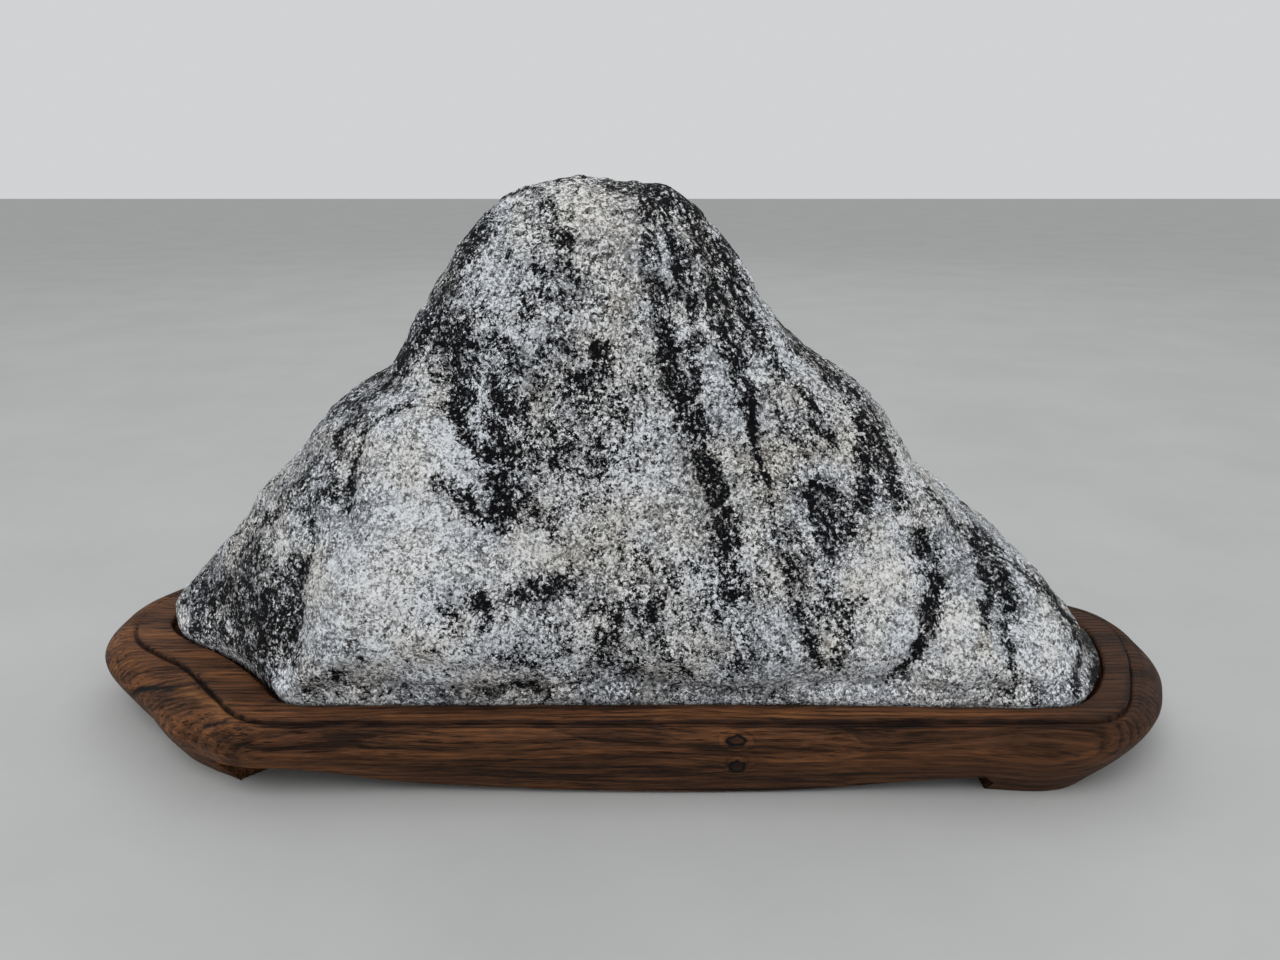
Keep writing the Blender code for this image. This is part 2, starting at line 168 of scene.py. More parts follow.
# one closed mesh from rings of equal count, first ring to last, each end closed by a fan to one point
def ringMesh(name, rings, firstPoint, lastPoint, finish, fields):
    levels, count = rings.shape[:2]
    points = np.vstack((rings.reshape(-1, 3), firstPoint, lastPoint))
    points[:, :2] -= planCentre
    ring = np.arange(levels - 1)[:, None] * count
    here = np.arange(count)[None, :]
    onward = (here + 1) % count
    quads = np.stack((ring + here, ring + onward, ring + count + onward, ring + count + here), axis=2)
    first, last, top = levels * count, levels * count + 1, (levels - 1) * count
    here, onward = here[0], onward[0]
    fans = np.vstack((np.column_stack((onward, here, np.full(count, first))),
                      np.column_stack((top + here, top + onward, np.full(count, last)))))
    mesh = bpy.data.meshes.new(name)
    mesh.from_pydata((points * mm).tolist(), [], quads.reshape(-1, 4).tolist() + fans.tolist())
    mesh.shade_smooth()
    for field, values in fields.items():
        layer = mesh.attributes.new(field, "FLOAT", "POINT")
        layer.data.foreach_set("value", np.concatenate((values.ravel(), values[0, :1], values[-1, :1])))
    mesh.materials.append(finish)
    piece = bpy.data.objects.new(name, mesh)
    bpy.context.scene.collection.objects.link(piece)
    print(name + ":", len(mesh.vertices), "vertices")
    return piece


# adds a shader node, sets its own settings, and sets or joins its inputs
def node(tree, kind, inputs=None, **settings):
    made = tree.nodes.new("ShaderNode" + kind)
    for key, value in settings.items():
        setattr(made, key, value)
    for key, value in (inputs or {}).items():
        if isinstance(value, bpy.types.NodeSocket):
            tree.links.new(value, made.inputs[key])
        else:
            made.inputs[key].default_value = value
    return made


# one step of reckoning with numbers, under Blender's name for it
def maths(tree, operation, *values):
    return node(tree, "Math", dict(enumerate(values)), operation=operation).outputs[0]


# the same with vectors: LENGTH gives a number, the others a vector
def vectorMaths(tree, operation, *values):
    made = node(tree, "VectorMath", dict(enumerate(values)), operation=operation)
    return made.outputs["Value" if operation == "LENGTH" else "Vector"]


# start plus value times slope
def straight(tree, value, start, slope):
    return maths(tree, "MULTIPLY_ADD", value, slope, start)


# start plus each named part times its weight
def weighted(tree, start, weights, parts):
    for name, weight in weights.items():
        start = straight(tree, parts[name], start, weight)
    return start


# runs smoothly from 0 to 1 while the value goes from low to high
def fadeIn(tree, value, low, high):
    inputs = {"Value": value, "From Min": low, "From Max": high}
    return node(tree, "MapRange", inputs, interpolation_type="SMOOTHSTEP").outputs["Result"]


# a socket stays as it is, and a colour gets its fourth number
def withAlpha(colour):
    return colour if isinstance(colour, bpy.types.NodeSocket) else (*colour, 1.0)


# first colour times 1 - share plus second times share, or the mode's own formula
def blendColour(tree, share, first, second, mode="MIX"):
    inputs = {0: share, 6: withAlpha(first), 7: withAlpha(second)}
    return node(tree, "Mix", inputs, data_type="RGBA", blend_type=mode).outputs[2]


# colours blended straight from each stop to the next
def colourRamp(tree, value, stops):
    made = node(tree, "ValToRGB", {"Fac": value})
    ramp = made.color_ramp
    while len(ramp.elements) < len(stops):
        ramp.elements.new(0.5)
    for element, (place, colour) in zip(ramp.elements, stops):
        element.position = place
        element.color = withAlpha(colour)
    return made.outputs["Color"]


# fractal noise from 0 to 1, its coarsest cells of a size in mm
def noise(tree, place, size, detail=2.0, roughness=0.5, output="Fac"):
    inputs = {"Vector": place, "Scale": 1.0 / (size * mm), "Detail": detail, "Roughness": roughness}
    return node(tree, "TexNoise", inputs).outputs[output]


# the same drawn out: so many cells to a metre along each axis
def drawnNoise(tree, place, cells, detail, roughness, output="Fac"):
    drawn = node(tree, "Mapping", {"Vector": place, "Scale": cells}).outputs["Vector"]
    return noise(tree, drawn, 1.0 / mm, detail, roughness, output)


# a noise's colour less one half, times a reach in mm along each axis
def pushBy(tree, colour, reach):
    centred = vectorMaths(tree, "SUBTRACT", colour, (0.5, 0.5, 0.5))
    return vectorMaths(tree, "MULTIPLY", centred, [value * mm for value in reach])


# tips the shader's normal by a height, given with the strength and with the height in mm that 1 stands for
def addBump(tree, shader, height, strength, distance):
    bump = node(tree, "Bump", {"Strength": strength, "Distance": distance * mm, "Height": height})
    tree.links.new(bump.outputs["Normal"], shader.inputs["Normal"])


# the numbers that the mesh's points carry under these names
def attributes(tree, *names):
    return [node(tree, "Attribute", attribute_name=name).outputs["Fac"] for name in names]


# an empty material, its tree, its shader and the place on the object
def newFinish(name):
    material = bpy.data.materials.new(name)
    material.use_nodes = True
    tree = material.node_tree
    return material, tree, tree.nodes["Principled BSDF"], node(tree, "TexCoord").outputs["Object"]


view = {
    "place": (7.9, -320.1, 186.6),
    "tiltDown": 18.0,  # degrees
    "lens": 27.028125,  # mm, as the sensor's width
    "sensor": 36.0,
}


# a level camera that looks along Y, tipped down
def makeCamera():
    data = bpy.data.cameras.new("camera")
    data.sensor_width = view["sensor"]
    data.lens = view["lens"]
    data.clip_start = 0.01
    camera = bpy.data.objects.new("camera", data)
    camera.location = [value * mm for value in view["place"]]
    camera.rotation_euler = (math.radians(90.0 - view["tiltDown"]), 0.0, 0.0)
    bpy.context.scene.collection.objects.link(camera)
    bpy.context.scene.camera = camera


studio = {
    "floorColour": (0.47, 0.475, 0.47),
    "mottle": (1000.0 / 9.0, 5.0, 0.6),  # size in mm, detail and roughness of the floor's patches
    "mottleShade": 0.93,
    "floorRoughness": 0.7,
    "floorSize": 12.0,  # metres
    "skyColour": (0.80, 0.81, 0.82),
    "skyStrength": 0.80,
    # place (m), aimed at (m), width (m), power (W)
    "lamps": (
        ("keyLamp", (-0.25, -0.75, 1.15), (0.0, 0.0, 0.05), 0.8, 7.6),
        ("fillLamp", (0.9, -0.9, 0.8), (0.0, 0.0, 0.06), 0.9, 1.6),
        ("backLamp", (0.1, 1.1, 1.2), (0.0, 0.0, 0.05), 1.0, 2.4),
    ),
}


# a flat floor, an even sky and square lamps, each tipped from straight down and turned towards its aim
def makeStudio():
    half = studio["floorSize"] / 2
    corners = [(-half, -half, 0), (half, -half, 0), (half, half, 0), (-half, half, 0)]
    mesh = bpy.data.meshes.new("floor")
    mesh.from_pydata(corners, [], [(0, 1, 2, 3)])
    floor = bpy.data.objects.new("floor", mesh)
    bpy.context.scene.collection.objects.link(floor)
    material, tree, shader, place = newFinish("floorFinish")
    pale = studio["floorColour"]
    dark = [value * studio["mottleShade"] for value in pale]
    mottle = colourRamp(tree, noise(tree, place, *studio["mottle"]), ((0.35, dark), (0.65, pale)))
    tree.links.new(mottle, shader.inputs["Base Color"])
    shader.inputs["Roughness"].default_value = studio["floorRoughness"]
    mesh.materials.append(material)
    for name, place, aim, width, power in studio["lamps"]:
        data = bpy.data.lights.new(name, "AREA")
        data.size = width
        data.energy = power
        lamp = bpy.data.objects.new(name, data)
        lamp.location = place
        away = np.array(aim) - place
        lamp.rotation_euler = (math.atan2(math.hypot(away[0], away[1]), -away[2]), 0.0,
                               math.atan2(away[1], away[0]) - math.pi / 2)
        lamp.visible_camera = False
        bpy.context.scene.collection.objects.link(lamp)
    world = bpy.data.worlds.new("studio")
    world.use_nodes = True
    background = world.node_tree.nodes["Background"]
    background.inputs["Color"].default_value = (*studio["skyColour"], 1.0)
    background.inputs["Strength"].default_value = studio["skyStrength"]
    bpy.context.scene.world = world
    bpy.context.scene.view_settings.view_transform = "Standard"


# the stone: level outlines from foot to summit, lumps, facets, folds and rough relief, in mm
stoneForm = {
    "columns": 560,
    "rows": 174,
    "fineRows": 3001,  # steps along which the rows, and below the columns, are spaced
    "fineColumns": 2881,
    "frontShare": 0.64,  # of the columns, on the display side
    "summit": (-10.0, 7.0, 184.0),
    "restGap": 0.3,
    "seatPlay": 1.2,
    "undersideRound": 0.8,
    "footBlend": 30.0,
    # height and limit of the outline to the left, right, front and back
    "left": (
        (27, -167), (36, -166.5), (44, -158.5), (58, -144.5), (74, -129.5), (90, -114), (97, -109.5),
        (102, -106), (110, -97.5), (116, -89.5), (121, -80), (126, -77), (138, -71.5), (152, -60.5),
        (165, -52), (174, -43), (180, -36), (183, -28),
    ),
    "right": (
        (27, 168), (36, 159.5), (44, 152.5), (58, 140), (64, 132.5), (70, 124.5), (80, 114.5), (87, 104),
        (100, 95.5), (112, 85), (123, 71), (133, 58), (141, 49.5), (153, 42.5), (165, 33.5), (174, 24.5),
        (180, 14.5), (183, 2.5),
    ),
    "front": (
        (27, -54), (42, -58), (58, -53.5), (74, -48), (92, -41.5), (108, -36.5), (124, -32), (140, -28),
        (156, -22), (168, -15), (177, -7.5), (182, -0.5),
    ),
    "back": (
        (27, 54), (42, 57), (58, 54.5), (74, 51), (92, 47), (108, 43.5), (124, 40), (140, 36.5), (156, 32),
        (168, 27), (177, 21), (182, 15),
    ),
    # height and power of the superellipse
    "squareness": (
        (27, 3.2), (60, 2.9), (95, 2.5), (125, 2.3), (160, 2.15), (183, 2),
    ),
    # centre, radii, outward push
    "lumps": (
        (-70, -46, 62, 34, 24, 40, 5), (-64, -30, 100, 24, 20, 20, 4), (28, -42, 88, 34, 24, 46, 2.5),
        (96, -28, 74, 20, 22, 26, 2.5), (145, -30, 40, 20, 26, 18, 2.5), (-8, -6, 168, 26, 22, 16, 1.5),
        (-60, 40, 92, 40, 24, 34, 4), (62, 42, 66, 36, 24, 34, 4), (2, 44, 118, 22, 22, 44, -4),
        (-120, 28, 52, 26, 24, 24, 3),
    ),
    # three points of each flat facet, anticlockwise seen from outside
    "facets": (
        ((-163, -1.5, 27), (-106, -53.5, 27), (-96, -40, 70)),
        ((-60, -53, 27), (60, -53, 27), (0, -57.2, 41)),
        ((104, -54, 27), (145, -52.5, 27), (128, -55.6, 40)), ((150, 36, 27), (80, 58, 27), (96, 40, 82)),
        ((-70, 58.5, 27), (-150, 42, 27), (-104, 40, 74)),
    ),
    "facetRounding": 0.8,
    # width and depth of each fold, then its line as x,z on the display side
    "folds": (
        (8.5, 4, -58,134, -50,121, -43,109, -37,97, -33,84, -24,76, -13,62),
        (5, 1.3, 11,152, 15,136, 22,114, 26,98, 31,84, 29,70),
        (6, 1.8, 22,177, 30,165, 37,150, 42,126, 50,104), (5.5, 1.8, 91,79, 100,69, 102,57, 99,47, 88,38),
        (5, 1.4, 111,79, 119,66, 122,56, 121,44), (3.2, 1.1, -66,119, -80,110, -85,96, -87,84),
        (3.6, 1.2, -97,78, -100,64, -101,50, -107,38), (4, 1.2, -56,128, -50,112, -38,100, -35,84),
    ),
    "ledge": (33.5, 3.0, 0.9),  # height, reach and depth of the set-back strip over the rim
    "ledgeWave": ((14.0, 16, 1.5),),
    "foldFade": (4.0, -16.0),  # y where the folds and the strip end, and the reach over which they fade in
    # lattice cell, seed, height: of the stone's own unevenness, and of its rough skin
    "relief": ((34.0, 11, 2.6), (15.0, 12, 1.3), (7.5, 13, 0.5)),
    "skin": ((4.2, 14, 0.45), (2.4, 15, 0.48)),
    "skinCalm": 0.6,  # how much of the skin the smooth strip over the rim loses
    "darkSink": 0.2,  # the dark crystals have weathered back by this
    "lumpRise": 14.0,  # heights over the rim at which lumps, facets and relief reach their whole size
    "facetRise": 6.0,
    "reliefRise": 8.0,
}


# square root of how far below the summit a height lies, 0 at the summit and 1 at the rim
def level(height):
    top = stoneForm["summit"][2]
    return np.sqrt((top - np.asarray(height, dtype=float)) / (top - rimHeight))


# Hermite curve through a table of height and place against the level, ending at the summit
def readLimit(side, summit, at):
    knots = np.array(stoneForm[side], dtype=float)[::-1]
    place = np.concatenate(([summit], knots[:, 1]))
    step = np.concatenate(([0.0], level(knots[:, 0])))
    slope = np.gradient(place, step)
    index = np.clip(np.searchsorted(step, at) - 1, 0, len(step) - 2)
    width = step[index + 1] - step[index]
    t = (at - step[index]) / width
    return (place[index] * (1 + 2 * t) * (1 - t) ** 2 + slope[index] * width * t * (1 - t) ** 2
            + place[index + 1] * t ** 2 * (3 - 2 * t) + slope[index + 1] * width * t ** 2 * (t - 1))


# left, right, front and back limits at the levels
def readLimits(at):
    return [readLimit(side, stoneForm["summit"][axis], at)
            for side, axis in (("left", 0), ("right", 0), ("front", 1), ("back", 1))]


# levels from foot to summit at even distances down the mean of the left, right and front slopes
def evenLevels():
    fine = np.linspace(1.0, 0.0, stoneForm["fineRows"])
    drop = (stoneForm["summit"][2] - rimHeight) * fine ** 2
    strides = sum(np.hypot(np.diff(drop), np.diff(side)) for side in readLimits(fine)[:3])
    return spacedEvenly(fine, strides, stoneForm["rows"])


# angles round the foot's ellipse at even distances, with more of them on the display side
def evenAngles():
    fine = np.linspace(-math.pi, math.pi, stoneForm["fineColumns"])
    middle = (fine[1:] + fine[:-1]) / 2
    right, back = stoneForm["right"][0][1], stoneForm["back"][0][1]
    strides = np.hypot(right * np.diff(np.cos(fine)), back * np.diff(np.sin(fine)))
    front = stoneForm["frontShare"]
    strides *= (1.0 - front) + (2.0 * front - 1.0) * smoothStep(0.5 - np.sin(middle))
    return spacedEvenly(fine, strides, stoneForm["columns"])


# radius of the seat's outline less its play, with the foot stretched to a unit circle
def footRadius(angle):
    size = (stoneForm["right"][0][1], stoneForm["back"][0][1])
    plan = seatCurve()[0][:-1, :2]
    plan = (plan - outward(plan) * stoneForm["seatPlay"]) / size
    turn = np.arctan2(plan[:, 1], plan[:, 0])
    return np.interp(angle, turn, np.hypot(plan[:, 0], plan[:, 1]), period=2 * math.pi)


# 0 at the rim, 1 at the named height over it
def overRim(height, rise):
    return ramp(height, rimHeight, stoneForm[rise])


# level outlines: superellipses between the four limits, turning into the seat's outline at the foot
def baseForm(at, angle):
    at = at[:, None]
    top = stoneForm["summit"][2]
    height = top - (top - rimHeight) * at ** 2
    left, right, front, back = readLimits(at)
    power = readLimit("squareness", stoneForm["squareness"][-1][1], at)
    cos, sin = np.cos(angle)[None, :], np.sin(angle)[None, :]
    radius = (np.abs(cos) ** power + np.abs(sin) ** power) ** (-1.0 / power)
    rise = overRim(height, "footBlend")
    radius = footRadius(angle)[None, :] * (1.0 - rise) + radius * rise
    x = (left + right) / 2 + (right - left) / 2 * radius * cos
    y = (front + back) / 2 + (back - front) / 2 * radius * sin
    return np.stack((x, y, np.broadcast_to(height, x.shape)), axis=2)


# Gaussian grooves along the folds' lines, on the display side only
def foldPush(points):
    display = ramp(points[:, :, 1], *stoneForm["foldFade"])
    push = np.zeros(points.shape[:2])
    for width, depth, *line in stoneForm["folds"]:
        away = distanceToLine(points[:, :, (0, 2)], line)
        push -= depth * np.exp(-(away / width) ** 2) * display
    return push


# a strip over the rim, under a wavy smooth edge, lies further in than the face above it
def ledgePush(points):
    height, reach, depth = stoneForm["ledge"]
    under = height + noiseSum(points, stoneForm["ledgeWave"]) - points[:, :, 2]
    return depth * ramp(points[:, :, 1], *stoneForm["foldFade"]) * smoothStep(under / reach + 0.5)


# what stands out past a facet's plane is laid back to it, with a softplus edge
def cutFacets(points):
    aboveRim = overRim(points[:, :, 2], "facetRise")
    rounding = stoneForm["facetRounding"]
    for first, second, third in np.array(stoneForm["facets"]):
        normal = np.cross(second - first, third - first)
        normal /= np.linalg.norm(normal)
        past = (points - first) @ normal
        trim = rounding * np.logaddexp(0.0, past / rounding) * aboveRim
        points = points - trim[:, :, None] * (normal[0], normal[1], 0.0)
    return points


# markings of the stone, in mm: x and z on the display side; noises are lattice cell, seed and height
markings = {
    "ground": 0.15,  # share of dark crystals where nothing is added
    "groundUneven": (0.45, 0.35),  # how much patches and streaks change it
    "groundLimits": (0.02, 0.95),
    # centre, radii, added share of dark crystals
    "fields": (
        (-22, 163, 26, 22, 0.07), (-27, 111, 17, 18, 0.22), (-9, 108, 15, 17, 0.1), (-9, 127, 15, 15, 0.1),
        (-43, 130, 15, 11, 0.08), (-61, 107, 22, 18, -0.14), (-66, 74, 37, 22, -0.12),
        (-27, 76, 13, 6, -0.12), (-122, 43, 18, 17, 0.34), (-119, 70, 15, 10, 0.16),
        (-96, 95, 17, 15, 0.14), (-70, 122, 15, 7, 0.12), (0, 174, 15, 8, -0.08), (13, 89, 15, 15, -0.08),
        (6, 54, 30, 15, 0.14), (35, 57, 15, 18, 0.1), (82, 63, 15, 26, -0.1), (106, 48, 15, 15, -0.1),
        (138, 41, 9, 17, -0.12), (59, 106, 22, 18, 0.06), (16, 155, 8, 10, -0.1), (-41, 58, 22, 15, 0.06),
        (-106, 30, 7, 4, -0.2), (-40, 112, 12, 18, 0.16), (-126, 46, 24, 18, 0.27), (-151, 40, 11, 12, 0.3),
        (-104, 54, 5, 16, 0.22), (-87, 50, 9, 16, -0.22), (-62, 108, 13, 10, -0.16), (-109, 67, 5, 4, -0.3),
        (-114, 59, 6, 5, 0.2), (-38, 126, 5, 5, -0.15), (-35, 136, 4, 4, -0.15), (-26, 142, 6, 5, 0.12),
        (10, 121, 5, 4, 0.2), (72, 36, 14, 5, -0.15), (-19, 107, 12, 5, 0.14), (-104, 33, 6, 8, -0.25),
        (33, 64, 5, 4, -0.15), (-113, 54, 8, 6, 0.18), (-18, 100, 10, 14, 0.1), (-3, 115, 9, 13, 0.24),
        (-5, 95, 5, 5, 0.14), (-18, 85, 9, 4, 0.18), (4, 80, 4, 10, 0.16), (11, 73, 7, 5, 0.16),
        (-5, 55, 5, 5, 0.25), (2, 50, 6, 5, 0.2), (-12, 36, 16, 4, 0.2), (-88, 31, 22, 3, 0.22),
        (124, 31, 12, 3, 0.3), (107, 67, 5, 5, -0.2), (-24, 175, 7, 6, 0.2), (-26, 167, 9, 5, 0.12),
        (-52, 142, 12, 6, 0.2), (60, 119, 6, 6, -0.15),
    ),
    # half width, share of dark crystals, then the line as x,z
    "bands": (
        (4.2, 0.8, -2,184, 6,183, 13,181, 20,178, 27,173), (1.3, 0.58, -42,177, -34,181, -22,184, -8,185),
        (2.6, 0.6, 9,176, 10,168, 9,160), (4.6, 0.72, 25,173, 27,166, 29,159, 31,150),
        (3.8, 0.8, 30,150, 31,143, 34,135, 36,127, 39,119), (2.4, 0.72, 40,119, 42,111, 43,104, 45,96),
        (2.3, 0.77, 10,180, 14,175, 16,167, 18,160, 18,151), (2, 0.6, 22,162, 22,152, 22,144, 25,135),
        (3.6, 0.8, 11,153, 13,143, 15,134, 17,124), (4.2, 0.82, 17,125, 20,117, 24,109, 27,101, 30,93),
        (3.2, 0.62, 30,93, 33,86, 35,79), (2.5, 0.54, 30,84, 33,75, 35,65),
        (3.4, 0.82, 34,163, 36,156, 39,147, 42,139, 43,134), (2, 0.62, 44,134, 49,128, 53,123, 58,119),
        (2.9, 0.73, 58,119, 60,114, 63,109, 68,105), (2, 0.81, 52,137, 59,131, 65,126, 71,121, 76,116),
        (3.4, 0.73, 76,116, 78,112, 79,106, 80,100), (3.4, 0.85, 81,108, 84,103, 86,99, 87,93),
        (3.4, 0.81, 80,100, 78,94, 77,88), (3.4, 0.8, 61,92, 62,87, 65,82, 67,79),
        (2.5, 0.73, 67,91, 70,87, 72,81), (1, 0.54, 87,92, 90,87, 93,82),
        (3.8, 0.9, 97,76, 100,71, 101,65, 100,60, 97,56), (1.8, 0.8, 97,57, 96,51, 92,45, 88,39, 83,35),
        (1.1, 0.58, 101,87, 105,82, 111,78, 115,74), (2.3, 0.8, 118,72, 119,68, 119,63, 119,57),
        (2.9, 0.81, 122,70, 124,64, 125,59, 125,54), (2.1, 0.66, 124,54, 122,49, 122,43, 124,36),
        (2, 0.7, 116,55, 115,51), (1, 0.58, 140,56, 145,50, 152,42),
        (2.6, 0.85, 144,51, 149,44, 149,40, 149,36, 145,31), (3.4, 0.62, 51,79, 53,73, 54,66, 55,58),
        (3, 0.5, 56,58, 59,51, 61,41), (2.9, 0.59, 74,61, 70,55, 68,48, 67,40), (3.4, 0.54, 62,59, 67,58),
        (2.5, 0.45, 62,79, 64,73, 65,65), (4.3, 0.54, 31,77, 34,71, 35,65), (4.8, 0.3, 31,63, 35,54, 39,42),
        (2.9, 0.4, 15,74, 17,66), (3, 0.22, 11,51, 16,43, 19,36), (1.1, 0.4, 46,95, 47,86, 48,76),
        (5, 0.94, -55,139, -53,132, -53,126, -50,120), (4.5, 0.85, -51,134, -50,127, -51,121),
        (2.5, 0.66, -48,139, -44,134, -36,135, -32,133, -30,129),
        (2.6, 0.8, -52,118, -48,111, -43,106, -39,103), (4, 0.84, -39,103, -36,98, -35,92, -35,86),
        (3.9, 0.59, -37,123, -36,118, -38,112, -36,107), (2.9, 0.73, -46,89, -41,86, -37,88),
        (3.4, 0.59, -55,96, -52,94, -50,92), (2.5, 0.5, -47,93, -44,91),
        (2.5, 0.5, -30,92, -26,89, -22,85, -20,81), (1, 0.58, -22,80, -17,77, -14,73, -15,68),
        (1.1, 0.54, -71,124, -63,131, -57,138),
        (1.3, 0.67, -83,89, -84,96, -82,104, -80,109, -73,114, -66,118),
        (2, 0.73, -97,110, -86,116, -77,121, -71,126), (2, 0.58, -85,87, -86,92, -83,99),
        (1.1, 0.45, -120,72, -107,84, -96,94, -88,101),
        (1.1, 0.5, -131,62, -115,78, -103,91, -92,104, -86,112), (2, 0.54, -102,83, -94,89, -86,92),
        (2, 0.58, -99,80, -97,74, -98,67), (3.4, 0.74, -102,68, -101,59, -103,50, -107,41),
        (3.4, 0.5, -148,41, -132,55, -118,64), (3.9, 0.59, -152,30, -136,34, -122,36, -114,28),
        (4.3, 0.45, -134,46, -122,45, -110,43), (2.9, 0.66, -98,31, -91,37, -86,38),
        (2, 0.58, -80,49, -78,44), (1.1, 0.66, -57,48, -55,47), (2.9, 0.62, -43,65, -40,60, -40,56),
        (2.5, 0.5, -50,58, -45,61, -42,62), (3.4, 0.59, -30,63, -27,65, -24,66),
        (2.9, 0.5, -21,64, -17,66, -14,69), (2, 0.4, -54,63, -52,60),
        (3.9, 0.7, -13,124, -9,125, -5,128, -6,134), (2.5, 0.45, -22,134, -17,136, -13,134),
        (2.5, 0.58, -20,167, -15,165), (2, 0.35, -18,161, -14,156, -10,152), (2, 0.54, -26,158, -22,156),
        (2.9, 0.45, -23,151, -18,149, -13,148), (2, 0.54, -30,149, -27,144), (1.3, 0.5, -35,163, -33,160),
        (1.1, 0.5, -23,179, -21,176), (4.3, 0.5, -6,59, 1,56, 8,57), (4.3, 0.45, -6,45, -1,40, 6,40),
        (3.9, 0.35, 10,63, 13,55), (3.4, 0.3, -36,47, -27,44, -18,47), (2.5, 0.45, -39,32, -31,34, -22,31),
        (2.5, 0.25, 10,181, 6,174), (4.7, 0.77, -44,170, -55,153, -65,139, -74,129),
        (4.4, 0.84, -74,129, -92,120, -104,110, -128,87, -146,65),
        # the band at the right tip, from (156, 39) down to (153, 25), is partly a dark band of the stone and
        # partly painted shadow of the gap over the seat
        (3.4, 0.94, 156,39, 161,33, 164,29, 160,27, 153,25), (1.3, 0.7, 131,61, 138,56, 145,51),
        (2.6, 0.6, -90,104, -86,110, -80,115), (2.2, 0.72, 21,136, 23,129, 24,123),
        (3, 0.78, 86,94, 87,89, 88,85), (2.6, 0.5, 50,114, 55,108, 60,104),
    ),
    "bandEdge": 2.5,  # power of the bands' falling off: the higher, the crisper
    "bandPatchy": 0.35,  # how patches change a band's share
    "bandMost": 1.05,  # and how far they may strengthen it
    # centre, radii, added whiteness; the three long negative ones at z 30 and 31 are painted shade on the
    # undercut strip over the rim
    "whitePatches": (
        (-59, 107, 20, 17, 0.26), (-66, 74, 35, 22, 0.18), (-27, 76, 15, 6, 0.22), (-9, 175, 13, 8, 0.14),
        (82, 63, 13, 26, 0.12), (106, 50, 15, 18, 0.08), (138, 41, 9, 17, 0.12), (-106, 30, 7, 5, 0.2),
        (11, 89, 17, 18, 0.08), (51, 132, 7, 5, 0.3), (30, 158, 13, 22, 0.22), (91, 91, 5, 9, 0.22),
        (6, 154, 6, 8, -0.16), (74, 61, 10, 11, 0.1), (134, 30, 24, 5, -0.46), (30, 31, 64, 6, -0.44),
        (-66, 31, 42, 5, -0.42), (-122, 46, 24, 20, -0.14), (-12, 120, 30, 34, -0.14),
        (0, 164, 26, 18, -0.14),
    ),
    # centre, radii, added warmth
    "warmPatches": (
        (-6, 173, 13, 10, 0.22), (3, 153, 6, 8, 0.16), (-18, 89, 11, 22, 0.05), (-24, 75, 18, 7, 0.18),
        (46, 90, 6, 26, 0.2), (6, 86, 22, 22, 0.1), (-44, 64, 30, 18, 0.08), (13, 63, 33, 18, 0.1),
        (114, 47, 3, 5, 0.5), (56, 103, 18, 15, 0.1), (82, 82, 18, 15, 0.08), (-66, 63, 22, 18, 0.06),
        (-48, 85, 22, 7, 0.12), (25, 57, 15, 15, 0.08),
    ),
    "white": 0.45,  # whiteness, and below warmth, where nothing is added
    "whiteDrift": ((22.0, 51, 0.25), (7.0, 52, 0.15)),
    "warm": 0.16,
    "warmDrift": ((18.0, 53, 0.26), (8.0, 54, 0.20)),
    "patchy": (5.0, 31),  # cell and seed alone
    "streaky": (4.0, 32),
    "streakLength": 0.35,  # shrinks z before the streaks' noise, which draws them out
    "wander": ((6.0, 21, 1.0), (2.6, 24, 0.6)),
    "wanderReach": 1.1,
    "wrap": 12.0,  # behind this y the display side's markings stray from their lines
    "astray": ((28.0, 61, 0.8),),  # for every millimetre behind it
    "displayFade": (40.0, -18.0),  # y where the display side ends, and the reach over which it fades in
    "backLean": 0.45,  # the bands of the back lean by this for every millimetre over the middle height
    "middleHeight": 100.0,
    "backSway": ((30.0, 43, 9.0), (13.0, 44, 4.0)),
    "backSquash": (0.8, 0.16),  # shrinks y and z before the bands' noise
    "backBands": ((9.0, 41, 1.0), (4.5, 42, 0.7)),
    "backWhere": ((45.0, 45, 0.4),),
    "backDark": (0.15, 0.08, 0.72),  # share between the bands, its patches, and what a band adds
    "backEdge": (0.12, 0.7),  # noise where a band starts, and its reach
    "smoothStrip": (33.0, 8.0),  # height where the smooth strip over the rim starts to roughen, and reach
    "smoothWave": 3.0,
    "flowFade": (-20.0, 40.0),  # right of this x the dark crystals are drawn out along the bands
    "flow": (0.25, 0.75, 0.25),  # least of it, what the display side adds and what the back adds
    "fan": (-8.0, 222.0),  # the streaks spread from this x and z
    "fanRadius": 130.0,
    "fanSquash": (0.5, 0.2),  # shrinks y and z along the streaks
}


